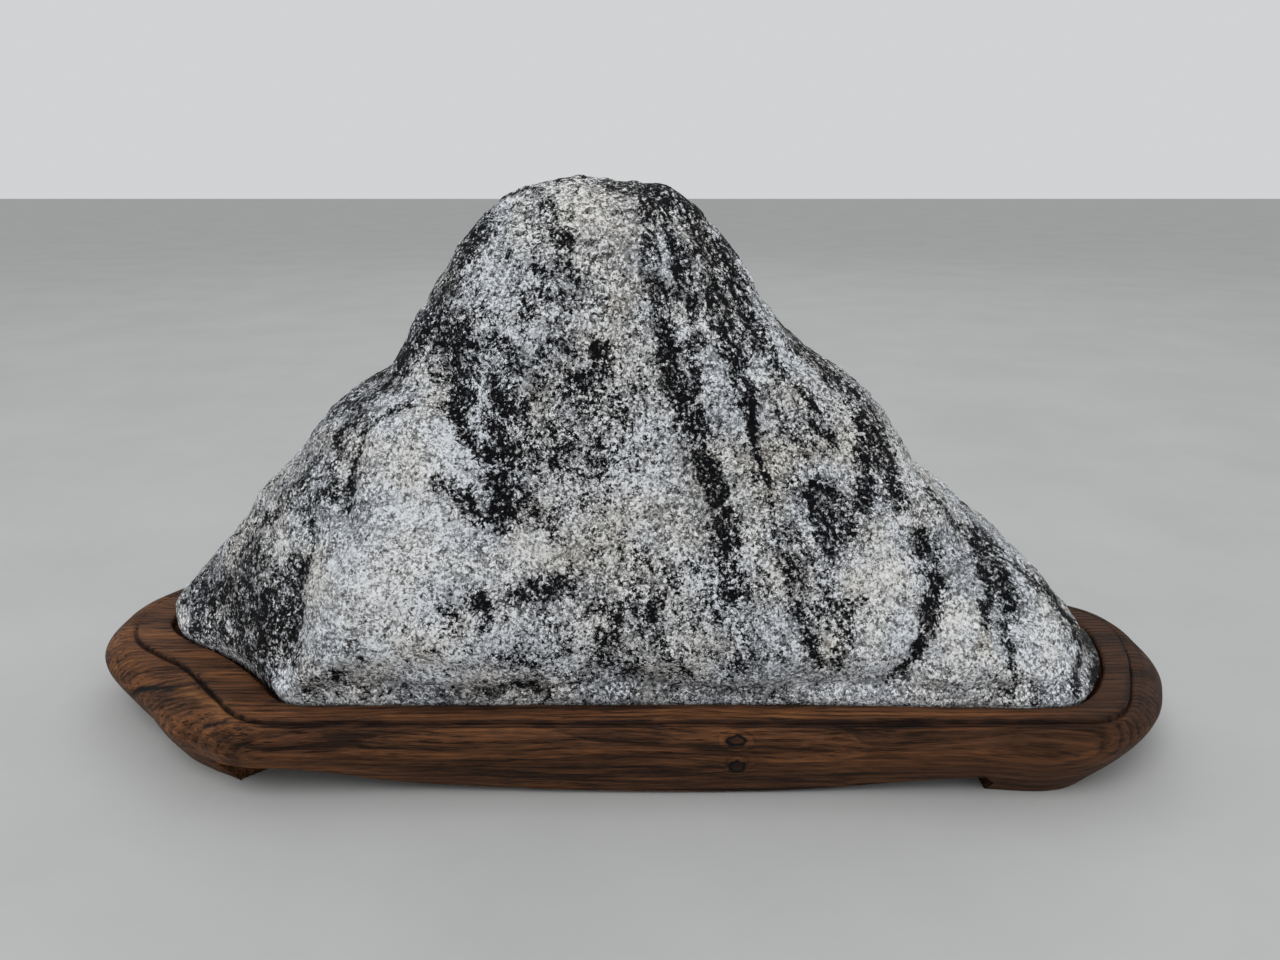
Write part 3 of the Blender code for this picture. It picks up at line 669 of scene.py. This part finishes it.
# share of dark crystals, whiteness, warmth, smoothness and streakiness at every point: bands take their share
# of what light they cross, and the display side fades into the back
def stoneFields(points):
    x, y, z = np.moveaxis(points, 2, 0)
    wander = noisePair(points, markings["wander"])
    behind = np.maximum(y - markings["wrap"], 0.0)[:, :, None]
    astray = noisePair(points, markings["astray"]) * behind
    flat = points[:, :, (0, 2)] + wander * markings["wanderReach"] + astray
    patchy = latticeNoise(points, *markings["patchy"])
    streaky = latticeNoise(points * (1.0, 1.0, markings["streakLength"]), *markings["streaky"])

    light = np.ones(points.shape[:2])
    bandUneven = np.clip(1.0 + markings["bandPatchy"] * patchy, 0.0, markings["bandMost"])
    for width, share, *line in markings["bands"]:
        away = distanceToLine(flat, line) / width
        light *= 1.0 - share * np.exp(-away ** markings["bandEdge"]) * bandUneven
    byPatch, byStreak = markings["groundUneven"]
    ground = markings["ground"] + patchSum(flat, markings["fields"])
    ground = np.clip(ground * (1.0 + byPatch * patchy + byStreak * streaky), *markings["groundLimits"])
    displayDark = 1.0 - light * (1.0 - ground)

    lean = x + (z - markings["middleHeight"]) * markings["backLean"] + wander[:, :, 0]
    lean = lean + noiseSum(points, markings["backSway"])
    squashY, squashZ = markings["backSquash"]
    bands = noiseSum(np.stack((lean, y * squashY, z * squashZ), axis=2), markings["backBands"])
    least, uneven, most = markings["backDark"]
    bands = ramp(bands + noiseSum(points, markings["backWhere"]), *markings["backEdge"])
    backDark = least + uneven * patchy + most * bands

    display = ramp(y, *markings["displayFade"])
    dark = np.clip(displayDark * display + backDark * (1.0 - display), 0.0, 1.0)
    fields = {"dark": dark}
    for name in ("white", "warm"):
        amount = markings[name] + patchSum(flat, markings[name + "Patches"]) * display
        fields[name] = np.clip(amount + noiseSum(points, markings[name + "Drift"]), 0.0, 1.0)
    fields["smooth"] = 1.0 - ramp(z + markings["smoothWave"] * patchy, *markings["smoothStrip"])
    least, onDisplay, onBack = markings["flow"]
    flow = ramp(x, *markings["flowFade"])
    fields["flow"] = least + onDisplay * flow * display + onBack * (1.0 - display)
    return fields


stoneLook = {
    "coarseGrain": 1.0,  # mm
    "fineGrain": 0.52,
    # size in mm, detail and roughness of each noise
    "crook": (0.8, 3.0, 0.65),
    "sway": (9.0, 2.0, 0.5),
    "clump": (3.2, 3.0, 0.65),
    "streak": (2.0, 3.0, 0.65),  # the size is its width
    "dust": (0.45, 2.0, 0.6),
    "soft": (1.5, 3.0, 0.7),
    "patch": (5.5, 3.0, 0.6),
    "rough": (10.0, 2.0, 0.5),
    "crookReach": (1.9, 1.9, 1.9),
    "swayReach": (7.0, 7.0, 7.0),
    "gain": (3.7, -0.8),  # how strongly the dark crystals clump, and what flow adds to it
    # weights of the parts in what makes a crystal dark, in its tone, in its place's tone and in the relief
    "darkParts": {"coarseDark": 0.40, "fineDark": 0.36, "dust": 0.44, "coarseAway": -0.25},
    "grainParts": {"coarseTone": 0.60, "fineTone": 0.72},
    "toneParts": {"soft": 0.75, "patch": 0.65, "white": 0.70, "rim": -0.16, "share": -0.04},
    "reliefParts": {"coarseAway": -0.6, "fineAway": -0.5, "coarseWarm": 0.35, "mica": -0.35,
                    "dust": 0.5, "soft": 0.8},
    "darkStart": 0.125,
    "darkLimit": (0.345, 0.52),  # a crystal is dark under the first plus the share times the second
    "darkEdge": (-0.03, 0.05),
    "rimEdge": (-0.32, 0.0),
    "grainStart": -0.66,
    "toneStart": -0.32,
    "contrast": (0.75, 0.55),  # least, and what rough areas add
    "roughEdge": (0.38, 0.62),
    "darkDepth": (0.78, 0.22),  # how dark a lone dark crystal is, and what the others round it add
    "crowdEdge": (0.0, 0.3),
    "mica": (0.003, 0.003, 0.004),
    "hornblende": (0.013, 0.0135, 0.015),
    # quartz, grey feldspar, white feldspar and the brightest faces, by tone
    "toneRamp": ((0.08, (0.075, 0.078, 0.083)), (0.36, (0.27, 0.275, 0.282)),
                 (0.62, (0.52, 0.525, 0.53)), (0.86, (0.95, 0.955, 0.96))),
    "warmRamp": ((0.8, (0.60, 0.50, 0.35)), (0.97, (0.42, 0.22, 0.13))),  # cream and a few rusty crystals
    "warmShare": 0.6,
    "warmMix": 0.5,
    "castRamp": ((0.05, (0.955, 0.985, 1.03)), (0.30, (1.0, 1.0, 1.0)), (0.75, (1.01, 0.97, 0.87))),
    "dullRamp": ((0.0, (0.78,) * 3), (0.8, (0.6,) * 3), (0.93, (0.25,) * 3)),  # roughness of light crystals
    "darkDull": (0.5,) * 3,
    "gloss": 0.05,
    "bumpStrength": (0.9, -0.5),  # on rough stone, and what smoothness adds
    "bumpHeight": 0.7,
}


# place along the fan of the bands: the angle round the fan's point, and y and z shrunk
def fanPlace(tree, place, push):
    fanX, fanZ = markings["fan"]
    squashY, squashZ = markings["fanSquash"]
    parts = node(tree, "SeparateXYZ", {"Vector": vectorMaths(tree, "ADD", place, push)}).outputs
    across = maths(tree, "SUBTRACT", parts["X"], (fanX - planCentre[0]) * mm)
    down = maths(tree, "SUBTRACT", fanZ * mm, parts["Z"])
    angle = maths(tree, "MULTIPLY", maths(tree, "ARCTAN2", across, down), markings["fanRadius"] * mm)
    depth = maths(tree, "MULTIPLY", parts["Y"], squashY)
    height = maths(tree, "MULTIPLY", parts["Z"], squashZ)
    return node(tree, "CombineXYZ", {"X": angle, "Y": depth, "Z": height}).outputs["Vector"]


# crystals are Voronoi cells of two sizes: one is dark where the weighted sum of their random numbers and of a
# fine noise is under a limit that grows with the local share, which clumps and streaks make uneven
def stoneFinish():
    look = stoneLook
    material, tree, shader, place = newFinish("stoneFinish")
    dark, white, warm, smooth, flow = attributes(tree, "dark", "white", "warm", "smooth", "flow")

    crook = pushBy(tree, noise(tree, place, *look["crook"], "Color"), look["crookReach"])
    grainPlace = vectorMaths(tree, "ADD", place, crook)
    parts = {name: noise(tree, place, *look[name]) for name in ("clump", "soft", "patch", "rough")}
    parts["dust"] = noise(tree, grainPlace, *look["dust"])
    parts["white"] = white
    for grain in ("coarse", "fine"):
        scale = 1.0 / (look[grain + "Grain"] * mm)
        cells = node(tree, "TexVoronoi", {"Vector": grainPlace, "Scale": scale}).outputs
        colour = node(tree, "SeparateColor", {"Color": cells["Color"]}).outputs
        parts[grain + "Away"] = cells["Distance"]
        for k, use in enumerate(("Dark", "Tone", "Warm")):
            parts[grain + use] = colour[k]

    sway = pushBy(tree, noise(tree, place, *look["sway"], "Color"), look["swayReach"])
    streak = noise(tree, fanPlace(tree, place, sway), *look["streak"])
    clump = parts["clump"]
    uneven = maths(tree, "MULTIPLY_ADD", maths(tree, "SUBTRACT", streak, clump), flow, clump)
    gain = straight(tree, flow, *look["gain"])
    uneven = maths(tree, "MULTIPLY", maths(tree, "SUBTRACT", uneven, 0.5), gain)
    share = maths(tree, "MULTIPLY_ADD", uneven, maths(tree, "SQRT", dark), dark)
    share = parts["share"] = maths(tree, "MINIMUM", share, 1.0)

    limit = straight(tree, share, *look["darkLimit"])
    excess = maths(tree, "SUBTRACT", limit, weighted(tree, look["darkStart"], look["darkParts"], parts))
    mica = parts["mica"] = fadeIn(tree, excess, *look["darkEdge"])
    parts["rim"] = fadeIn(tree, excess, *look["rimEdge"])

    contrast = straight(tree, fadeIn(tree, parts["rough"], *look["roughEdge"]), *look["contrast"])
    tone = weighted(tree, look["grainStart"], look["grainParts"], parts)
    tone = maths(tree, "MULTIPLY_ADD", tone, contrast, look["toneStart"])
    tone = weighted(tree, tone, look["toneParts"], parts)
    grains = colourRamp(tree, tone, look["toneRamp"])
    tint = blendColour(tree, look["warmMix"], grains, colourRamp(tree, parts["fineWarm"], look["warmRamp"]))
    tinted = maths(tree, "MULTIPLY", warm, maths(tree, "MULTIPLY", parts["coarseWarm"], look["warmShare"]))
    grains = blendColour(tree, tinted, grains, tint)
    grains = blendColour(tree, 1.0, grains, colourRamp(tree, warm, look["castRamp"]), "MULTIPLY")
    darks = blendColour(tree, maths(tree, "POWER", parts["fineTone"], 2.0), look["mica"], look["hornblende"])
    depth = straight(tree, fadeIn(tree, share, *look["crowdEdge"]), *look["darkDepth"])
    colour = blendColour(tree, maths(tree, "MULTIPLY", mica, depth), grains, darks)
    tree.links.new(colour, shader.inputs["Base Color"])

    dull = blendColour(tree, mica, colourRamp(tree, parts["fineWarm"], look["dullRamp"]), look["darkDull"])
    tree.links.new(dull, shader.inputs["Roughness"])
    shader.inputs["Specular IOR Level"].default_value = look["gloss"]

    strength = straight(tree, smooth, *look["bumpStrength"])
    addBump(tree, shader, weighted(tree, 0.0, look["reliefParts"], parts), strength, look["bumpHeight"])
    return material


# the base form is pushed out along its normals by lumps, cut to its facets, and pushed again by folds, ledge
# and relief; the foot turns in to the underside, which fans to one point
def makeStone():
    form = stoneForm
    points = baseForm(evenLevels(), evenAngles())
    lumps = patchSum(points, form["lumps"]) * overRim(points[:, :, 2], "lumpRise")
    points = cutFacets(points + gridNormals(points) * lumps[:, :, None])
    fields = stoneFields(points)
    push = foldPush(points) - ledgePush(points) + noiseSum(points, form["relief"])
    push += noiseSum(points, form["skin"]) * (1.0 - form["skinCalm"] * fields["smooth"])
    push -= form["darkSink"] * fields["dark"]
    push *= overRim(points[:, :, 2], "reliefRise")
    points = points + gridNormals(points) * push[:, :, None]

    foot = points[0].copy()
    foot[:, :2] -= outward(foot[:, :2]) * form["undersideRound"]
    foot[:, 2] = rimHeight - seatDepth + form["restGap"]
    middle = np.array((*planCentre, foot[0, 2]))
    rings = np.concatenate(((middle + (foot - middle) * 0.5)[None], foot[None], points))
    fields = {name: np.concatenate((values[:1], values[:1], values)) for name, values in fields.items()}
    piece = ringMesh("stone_grain", rings, middle, rings[-1].mean(axis=0), stoneFinish(), fields)
    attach(piece, "root")
    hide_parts("stone")


# the stand: a section carried round the seat's outline, in mm
standForm = {
    "stations": 760,
    "rimRound": 0.6,
    "leastStep": 0.05,
    "creaseWidth": 0.8,
    "creaseCut": 0.75,  # of the step
    "grooveAway": 1.3,  # second, thinner line outside the crease
    "grooveWidth": 0.6,
    "grooveDepth": 0.55,
    "grooveRoom": (0.6, 0.25),  # most that its distance and width take of the room up to the shoulder
    "shoulder": (0.45, 0.6),  # share of the bulge, and a length more, from the crease to the shoulder
    "shoulderDrop": (0.05, 0.2),  # share of the bulge, and a length more, from the step down to it
    "bulgeHeight": 18.0,
    "flank": (0.86, 4.0),  # a point between bulge and shoulder: share of the bulge, height over it
    "hullCurve": 1.35,
    "ceilingHeight": 14.0,
    "apronWidth": 8.0,
    "footWidth": 13.0,
    "footLength": 60.0,
    "edgeRound": 0.8,
    "runSteps": (4, 6, 3, 5),  # rings to each run of the underside, side, top and rim
    # a point of the outline at the middle of each foot, lengths of its start and its end
    "feet": ((-131.7, -27.2, 18.0, 2.0), (142.5, -52.3, 2.0, 18.0),
             (140.5, 32.0, 18.0, 2.0), (-133.0, 47.5, 2.0, 18.0)),
    "scoop": 3.2,  # how far the steep end of a foot is hollowed along the outline
    "front": (-0.9, -0.08),  # y of the outward normal where the front's second line starts, and its reach
    # lattice cell, seed, height of the hand-carved unevenness, and how far from seat and table it is whole
    "carving": ((26.0, 61, 0.30), (9.0, 62, 0.14)),
    "carvingRise": (3.0, 4.0),
}


# 1 on a foot and 0 between the feet, and which way each station leans in a foot's scooped end
def footShare(stations, curve, length):
    share, lean = np.zeros_like(stations), np.zeros_like(stations)
    whole, total = standForm["footLength"], length[-1]
    for x, y, start, end in standForm["feet"]:
        middle = length[np.argmin(np.hypot(curve[:-1, 0] - x, curve[:-1, 1] - y))]
        inside = np.mod(stations - middle + whole / 2, total)
        rise, fall = smoothStep(inside / start), smoothStep((whole - inside) / end)
        share = np.maximum(share, np.minimum(rise, fall))
        steep, way = (start, 1.0) if start < end else (whole - end, -1.0)
        away = np.mod(inside - steep + total / 2, total) - total / 2
        lean += way * np.exp(-(away / standForm["scoop"]) ** 2)
    return share, lean


# Catmull-Rom curve through the section's points, whole stations at a time
def smoothSection(section, steps):
    knots = np.array(section)
    padded = np.concatenate((2 * knots[:1] - knots[1:2], knots, 2 * knots[-1:] - knots[-2:-1]))
    t = (np.arange(steps) / steps)[:, None, None]
    return np.concatenate([catmullRom(*padded[k:k + 4], t) for k in range(len(knots) - 1)])


# straight runs through the section's points
def straightSection(section, steps):
    knots = np.array(section)
    t = (np.arange(steps) / steps)[:, None, None]
    return np.concatenate([start + (end - start) * t for start, end in zip(knots[:-1], knots[1:])])


# how far out the hull lies at a height: a power of the height below the bulge, from base to reach
def hull(height, base, reach):
    return base + (reach - base) * (1.0 - (1.0 - height / standForm["bulgeHeight"]) ** standForm["hullCurve"])


# offset and height of every ring, from the hollow's ceiling down, out, up the side, over the rim to the seat
def standSection(crease, reach, base, lower, step, foot, display):
    form = standForm
    width, edgeRound, bulgeHeight = form["creaseWidth"], form["edgeRound"], form["bulgeHeight"]
    same = np.ones_like(reach)
    low = lower * (1.0 - foot)
    step = np.maximum(step, form["leastStep"])
    stepHeight = rimHeight - step
    bulge = reach - crease
    shoulderAway = form["shoulder"][0] * bulge + form["shoulder"][1]
    shoulder = (crease + shoulderAway, stepHeight - form["shoulderDrop"][0] * bulge - form["shoulderDrop"][1])
    room = shoulderAway - width
    groove = crease + width + np.minimum(form["grooveAway"], form["grooveRoom"][0] * room)
    grooveWidth = np.minimum(form["grooveWidth"], form["grooveRoom"][1] * room)
    edge = hull(low, base, reach)
    inner = edge - form["apronWidth"] - (form["footWidth"] - form["apronWidth"]) * foot
    flankShare, flankRise = form["flank"]
    underSteps, sideSteps, topSteps, rimSteps = form["runSteps"]

    under = straightSection((
        (inner - edgeRound, form["ceilingHeight"] * same),
        (inner, low + edgeRound),
        (inner + edgeRound, low),
        (edge - edgeRound, low),
    ), underSteps)
    heights = (low + edgeRound * 0.7, lower + edgeRound, (lower + bulgeHeight) / 2)
    side = smoothSection((
        (edge - edgeRound, low),
        *((hull(height, base, reach), height) for height in heights),
        (reach, bulgeHeight * same),
        (crease + flankShare * bulge, (bulgeHeight + flankRise) * same),
        shoulder,
    ), sideSteps)
    top = straightSection((
        shoulder,
        (groove + grooveWidth, stepHeight + 0.05),
        (groove, stepHeight - form["grooveDepth"] * display),
        (groove - grooveWidth, stepHeight + 0.1),
        (crease + width, stepHeight - 0.1),
        (crease + 0.5 * width, stepHeight - step * form["creaseCut"]),
        (crease + 0.1, rimHeight - 0.4 * step),
        (crease - 0.4, rimHeight * same),
    ), topSteps)
    seat = (0.0 * same, (rimHeight - seatDepth) * same)
    rim = straightSection((
        (crease - 0.4, rimHeight * same),
        (form["rimRound"] * same, rimHeight * same),
        (0.0 * same, (rimHeight - form["rimRound"]) * same),
        seat,
    ), rimSteps)
    section = np.concatenate((under, side, top, rim, [seat]))
    section[:, 1] = np.maximum(section[:, 1], 0.0)
    return section


woodLook = {
    "darkBrown": (0.017, 0.0080, 0.0045),
    "brown": (0.073, 0.0310, 0.0145),
    "redBrown": (0.152, 0.0610, 0.0245),
    "tan": (0.27, 0.118, 0.042),
    "black": (0.004, 0.004, 0.005),
    "bend": ((9.0, 30.0, 30.0), 2.0, 0.5),  # cells to a metre along X, Y and Z, detail, roughness
    "bendReach": (0.0, 12.0, 12.0),
    "grain": {
        "broad": ((8.0, 80.0, 110.0), 3.0, 0.5),
        "streaks": ((20.0, 400.0, 480.0), 4.0, 0.65),
        "lines": ((50.0, 850.0, 950.0), 3.0, 0.6),
        "fibres": ((150.0, 2300.0, 2500.0), 3.0, 0.65),
    },
    # weights of the parts in the grain, in the shade of the place and in the relief
    "toneParts": {"broad": 1.3, "streaks": 0.8, "lines": 0.8, "fibres": 0.7},
    "shadeParts": {"right": -0.58, "worn": 0.16, "leftEnd": -0.07, "late": -0.14},
    "reliefParts": {"marks": 0.16, "fibres": 0.7, "lines": 1.2, "streaks": 0.7,
                    "late": -0.25, "cracks": -0.5, "dark": -0.6},
    "toneStops": (0.22, 0.50, 0.76, 1.0),  # where dark brown, brown, red-brown and tan are reached
    "toneStart": -1.8,
    "shadeStart": 0.52,
    "leftEnd": (-0.12, -0.16),  # x in metres where an end starts, and where it is whole
    "rightEnd": (0.06, 0.14),
    "rightCalm": (1.0, -0.45),  # the grain's contrast, and what the right end adds
    "crackShare": (0.7, -2.5),  # at the middle, and what every metre to the right adds
    "crackEdges": {"lines": (0.44, 0.36), "fibres": (0.56, 0.44)},
    "ringWidth": 2.1,
    "pith": (0.0, 150.0, -40.0),  # the rings of the block are round this line, along X
    "lateWood": (0.35, 0.9),  # where in a ring its dark part sets in, and where it ends
    "ringEnd": (1.0, 0.93),
    # centre, radii of each knot
    "knots": (
        ((35.7, -67.2, 22.5), (2.8, 3, 1.5)), ((36, -66.7, 13.4), (2.5, 3, 2.5)),
        ((-124.4, -61.4, 10.6), (2.2, 2.6, 1.4)),
    ),
    # fades, in radii, of the knot, of the grain's bend round it, and of its dark ring inwards and outwards
    "knotEdges": ((1.1, 0.9), (2.4, 1.0), (0.55, 0.80), (1.2, 0.95)),
    "knotWobble": (1.6, 3.0),
    "scarEdge": (0.35, 0.62),
    "scarShare": 0.75,
    "knotShare": 0.7,
    # how black the painted shade of the crease lines, and the cuts, turn
    "creaseShadeAndCutShare": 0.85,
    "roughness": 0.5,
    "gloss": 0.07,
    "bump": (0.8, 0.5),  # strength, height in mm
    "chatterWidth": 1.15,
    "chatterSlant": -0.7,
    # half width, then the line as x,y,z, of the black stains, the cuts of the right end and the orange scars
    "stains": (
        (1.2, -166,-31,17, -159.2,-35,21.1, -153,-37.4,23.1),
        (0.7, -153,-37.4,23.1, -147,-39.6,24.6, -142.2,-39.6,25.3),
        (0.45, -142.2,-39.6,25.3, -138.2,-39,25.8, -133.5,-40.8,27),
        (0.75, -127.6,-60.2,23.1, -123.9,-61.2,24.4, -120.2,-61.3,25.3),
        (0.6, -114.4,-62.6,25.6, -110.6,-62.2,26.2),
        (0.4, -140.4,-34.6,27, -137.6,-38.7,26.4, -136.8,-42.3,25.6),
    ),
    "cuts": (
        (0.9, 176,-14,27, 174.3,-23.1,26.3, 169.1,-35.3,26.6, 162.6,-46.9,27, 155.6,-57.2,26.1),
        (0.5, 181.7,-13.3,25.5, 177.6,-25.5,25.4, 171.5,-38.8,25.4, 164,-51.2,25.4),
        (0.4, 166,-35.1,27, 172.8,-32.2,25.7), (0.4, 162.7,-41,27, 168.8,-39.4,25.7),
        (0.4, 157.8,-51.3,27, 161.9,-51.7,25.7),
    ),
    "scars": (
        (2.3, -142.4,-41.4,25.1, -136.2,-44.7,25.4, -129.3,-50.2,25.6, -122.9,-56.9,25.6),
        (0.9, -149.3,-36.5,24.9, -144.9,-36.7,25.3, -141.3,-35.1,26.2),
    ),
    "ragged": (2.0, 71),  # cell and seed of what makes their edges uneven
    "raggedEdge": 0.45,
    "cutShare": 0.7,
    "topFrom": 23.5,
    # the two dark lines are painted shade in the crease and in the groove outside it
    "creases": ((0.5, 0.8), (2.1, 0.6), (-3.0, 2.3)),  # place from the crease, width: two dark, one worn pale
    "creaseShadeFade": (120.0, 30.0),  # the painted crease shade fades out from this x on
    # x, z, radii and strength of the tool's slanted marks on the front, and y where the front's face starts
    "chatter": ((72, 13, 26, 5, 1.0), (-60, 15, 60, 5, 0.35), (10, 12, 30, 5, 0.3)),
    "frontFace": (-55.0, -5.0),
}


# the tone is a weighted sum of noises drawn out along X, from 10 mm bands to 0.4 mm fibres; rings lie round a
# line along X, and a ring's phase is the share of its width that lies further in; knots are ellipsoids
def woodFinish():
    look = woodLook
    material, tree, shader, place = newFinish("woodFinish")
    stain, scar, groove, worn, chatter = attributes(tree, "stain", "scar", "groove", "worn", "chatter")
    bend = pushBy(tree, drawnNoise(tree, place, *look["bend"], "Color"), look["bendReach"])
    grainPlace = vectorMaths(tree, "ADD", place, bend)
    parts = {name: drawnNoise(tree, grainPlace, *cells) for name, cells in look["grain"].items()}
    axes = node(tree, "SeparateXYZ", {"Vector": place}).outputs
    right = axes["X"]

    knotMask, haloMask, knotRing = 0.0, 0.0, 0.0
    wobble = maths(tree, "SUBTRACT", noise(tree, place, *look["knotWobble"]), 0.5)
    for centre, radii in look["knots"]:
        middle = [(value - shift) * mm for value, shift in zip(centre, (*planCentre, 0.0))]
        away = vectorMaths(tree, "DIVIDE", vectorMaths(tree, "SUBTRACT", place, middle),
                           [value * mm for value in radii])
        away = maths(tree, "ADD", vectorMaths(tree, "LENGTH", away), wobble)
        core, halo, inside, outside = (fadeIn(tree, away, *edge) for edge in look["knotEdges"])
        knotMask = maths(tree, "MAXIMUM", knotMask, core)
        haloMask = maths(tree, "MAXIMUM", haloMask, halo)
        knotRing = maths(tree, "MAXIMUM", knotRing, maths(tree, "MULTIPLY", inside, outside))

    inward = vectorMaths(tree, "SUBTRACT", grainPlace, [value * mm for value in look["pith"]])
    inward = vectorMaths(tree, "LENGTH", vectorMaths(tree, "MULTIPLY", inward, (0.0, 1.0, 1.0)))
    radius = maths(tree, "DIVIDE", inward, look["ringWidth"] * mm)
    phase = maths(tree, "FRACT", maths(tree, "ADD", radius, haloMask))
    late, ringEnd = (fadeIn(tree, phase, *look[name]) for name in ("lateWood", "ringEnd"))
    parts["late"] = maths(tree, "MULTIPLY", late, ringEnd)

    calm = straight(tree, fadeIn(tree, right, *look["rightEnd"]), *look["rightCalm"])
    tone = weighted(tree, look["toneStart"], look["toneParts"], parts)
    tone = maths(tree, "MULTIPLY_ADD", tone, calm, look["shadeStart"])
    parts.update(right=right, worn=worn, leftEnd=fadeIn(tree, right, *look["leftEnd"]))
    tone = weighted(tree, tone, look["shadeParts"], parts)
    browns = (look[name] for name in ("darkBrown", "brown", "redBrown", "tan"))
    tone = colourRamp(tree, tone, tuple(zip(look["toneStops"], browns)))
    inLines, inFibres = (fadeIn(tree, parts[name], *edge) for name, edge in look["crackEdges"].items())
    cracks = maths(tree, "MULTIPLY", inLines, inFibres)
    cracks = maths(tree, "MULTIPLY", cracks, straight(tree, right, *look["crackShare"]))
    tone = blendColour(tree, cracks, tone, look["darkBrown"])

    pale = fadeIn(tree, parts["streaks"], *look["scarEdge"])
    scarTone = blendColour(tree, pale, look["brown"], look["tan"])
    tone = blendColour(tree, maths(tree, "MULTIPLY", scar, look["scarShare"]), tone, scarTone)
    tone = blendColour(tree, maths(tree, "MULTIPLY", knotMask, look["knotShare"]), tone, look["darkBrown"])
    # black comes from the stains, the knots' rings, the cuts and the painted shade of the crease lines
    dark = maths(tree, "MAXIMUM", maths(tree, "MAXIMUM", stain, knotRing),
                 maths(tree, "MULTIPLY", groove, look["creaseShadeAndCutShare"]))
    tree.links.new(blendColour(tree, dark, tone, look["black"]), shader.inputs["Base Color"])
    shader.inputs["Roughness"].default_value = look["roughness"]
    shader.inputs["Specular IOR Level"].default_value = look["gloss"]

    slant = maths(tree, "ADD", right, maths(tree, "MULTIPLY", axes["Z"], look["chatterSlant"]))
    marks = maths(tree, "SINE", maths(tree, "MULTIPLY", slant, 2.0 * math.pi / (look["chatterWidth"] * mm)))
    parts.update(marks=maths(tree, "MULTIPLY", marks, chatter), cracks=cracks, dark=dark)
    addBump(tree, shader, weighted(tree, 0.0, look["reliefParts"], parts), *look["bump"])
    return material


# how strongly every point of the stand is stained, scarred or marked by the tool, by its distance to their
# lines, and how much painted crease shade or wear it gets, by how far it lies outside the crease
def woodFields(points, away, step, display):
    x, y, z = np.moveaxis(points, 2, 0)
    ragged = latticeNoise(points * (0.35, 1.0, 1.0), *woodLook["ragged"])
    fields = {}
    for name in ("stain", "cut", "scar"):
        fields[name] = np.zeros(points.shape[:2])
        for width, *line in woodLook[name + "s"]:
            near = distanceToLine(points, line) / width + woodLook["raggedEdge"] * ragged
            fields[name] = np.maximum(fields[name], np.exp(-np.maximum(near, 0.0) ** 3))
    onTop = smoothStep(z - woodLook["topFrom"]) * np.clip(step, 0.0, 1.0)
    # the crease and the groove outside it get dark lines of painted shade on top, the groove's line on the
    # display side only
    crease, second, worn = (np.exp(-((away - place) / width) ** 2) for place, width in woodLook["creases"])
    groove = np.clip((crease + display * second) * onTop * (1.0 + 0.5 * ragged), 0.0, 1.0)
    groove *= 1.0 - ramp(x, *woodLook["creaseShadeFade"]) * np.clip(0.5 + 0.5 * ragged, 0.0, 1.0)
    fields["groove"] = np.maximum(groove, woodLook["cutShare"] * fields.pop("cut"))
    fields["worn"] = worn * onTop * display
    fields["chatter"] = patchSum(points[:, :, (0, 2)], woodLook["chatter"]) * ramp(y, *woodLook["frontFace"])
    return fields


# each ring stands off the seat's outline by its offset, along the outline's normals; a foot's steep end is
# hollowed by a parabola over its height, and the whole is made slightly uneven
def makeStand():
    form = standForm
    curve, length = seatCurve()
    stations = np.linspace(0.0, length[-1], form["stations"], endpoint=False)
    x, y, *columns = (np.interp(stations, length, column) for column in curve.T)
    crease, lower, step = columns[0], columns[3], columns[4]
    plan = np.column_stack((x, y))
    normal = outward(plan)
    share, lean = footShare(stations, curve, length)
    display = ramp(normal[:, 1], *form["front"])
    section = standSection(*columns, share, display)
    offset, height = section[:, 0], section[:, 1]
    along = np.column_stack((-normal[:, 1], normal[:, 0]))
    hollow = np.clip(height / np.maximum(lower, 1.0), 0.0, 1.0)
    hollow = 4.0 * hollow * (1.0 - hollow) * lean * form["scoop"]
    rings = plan[None] + normal[None] * offset[:, :, None] + along[None] * hollow[:, :, None]
    rings = np.concatenate((rings, height[:, :, None]), axis=2)
    fromSeat, fromTable = form["carvingRise"]
    uneven = noiseSum(rings, form["carving"]) * smoothStep(offset / fromSeat) * smoothStep(height / fromTable)
    rings = rings + gridNormals(rings) * uneven[:, :, None]
    ceiling = np.array((*planCentre, form["ceilingHeight"]))
    seat = np.array((*planCentre, rimHeight - seatDepth))
    rings = np.concatenate((ceiling + (rings[:1] - ceiling) * 0.5, rings, seat + (rings[-1:] - seat) * 0.5))
    away = offset - crease
    away = np.concatenate((away[:1], away, away[-1:]))
    fields = woodFields(rings, away, step, display)
    piece = ringMesh("stand_carving", rings, ceiling, seat, woodFinish(), fields)
    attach(piece, "root")
    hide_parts("stand")


makeCamera()
makeStudio()
print("camera and studio ready")
makeStone()
makeStand()
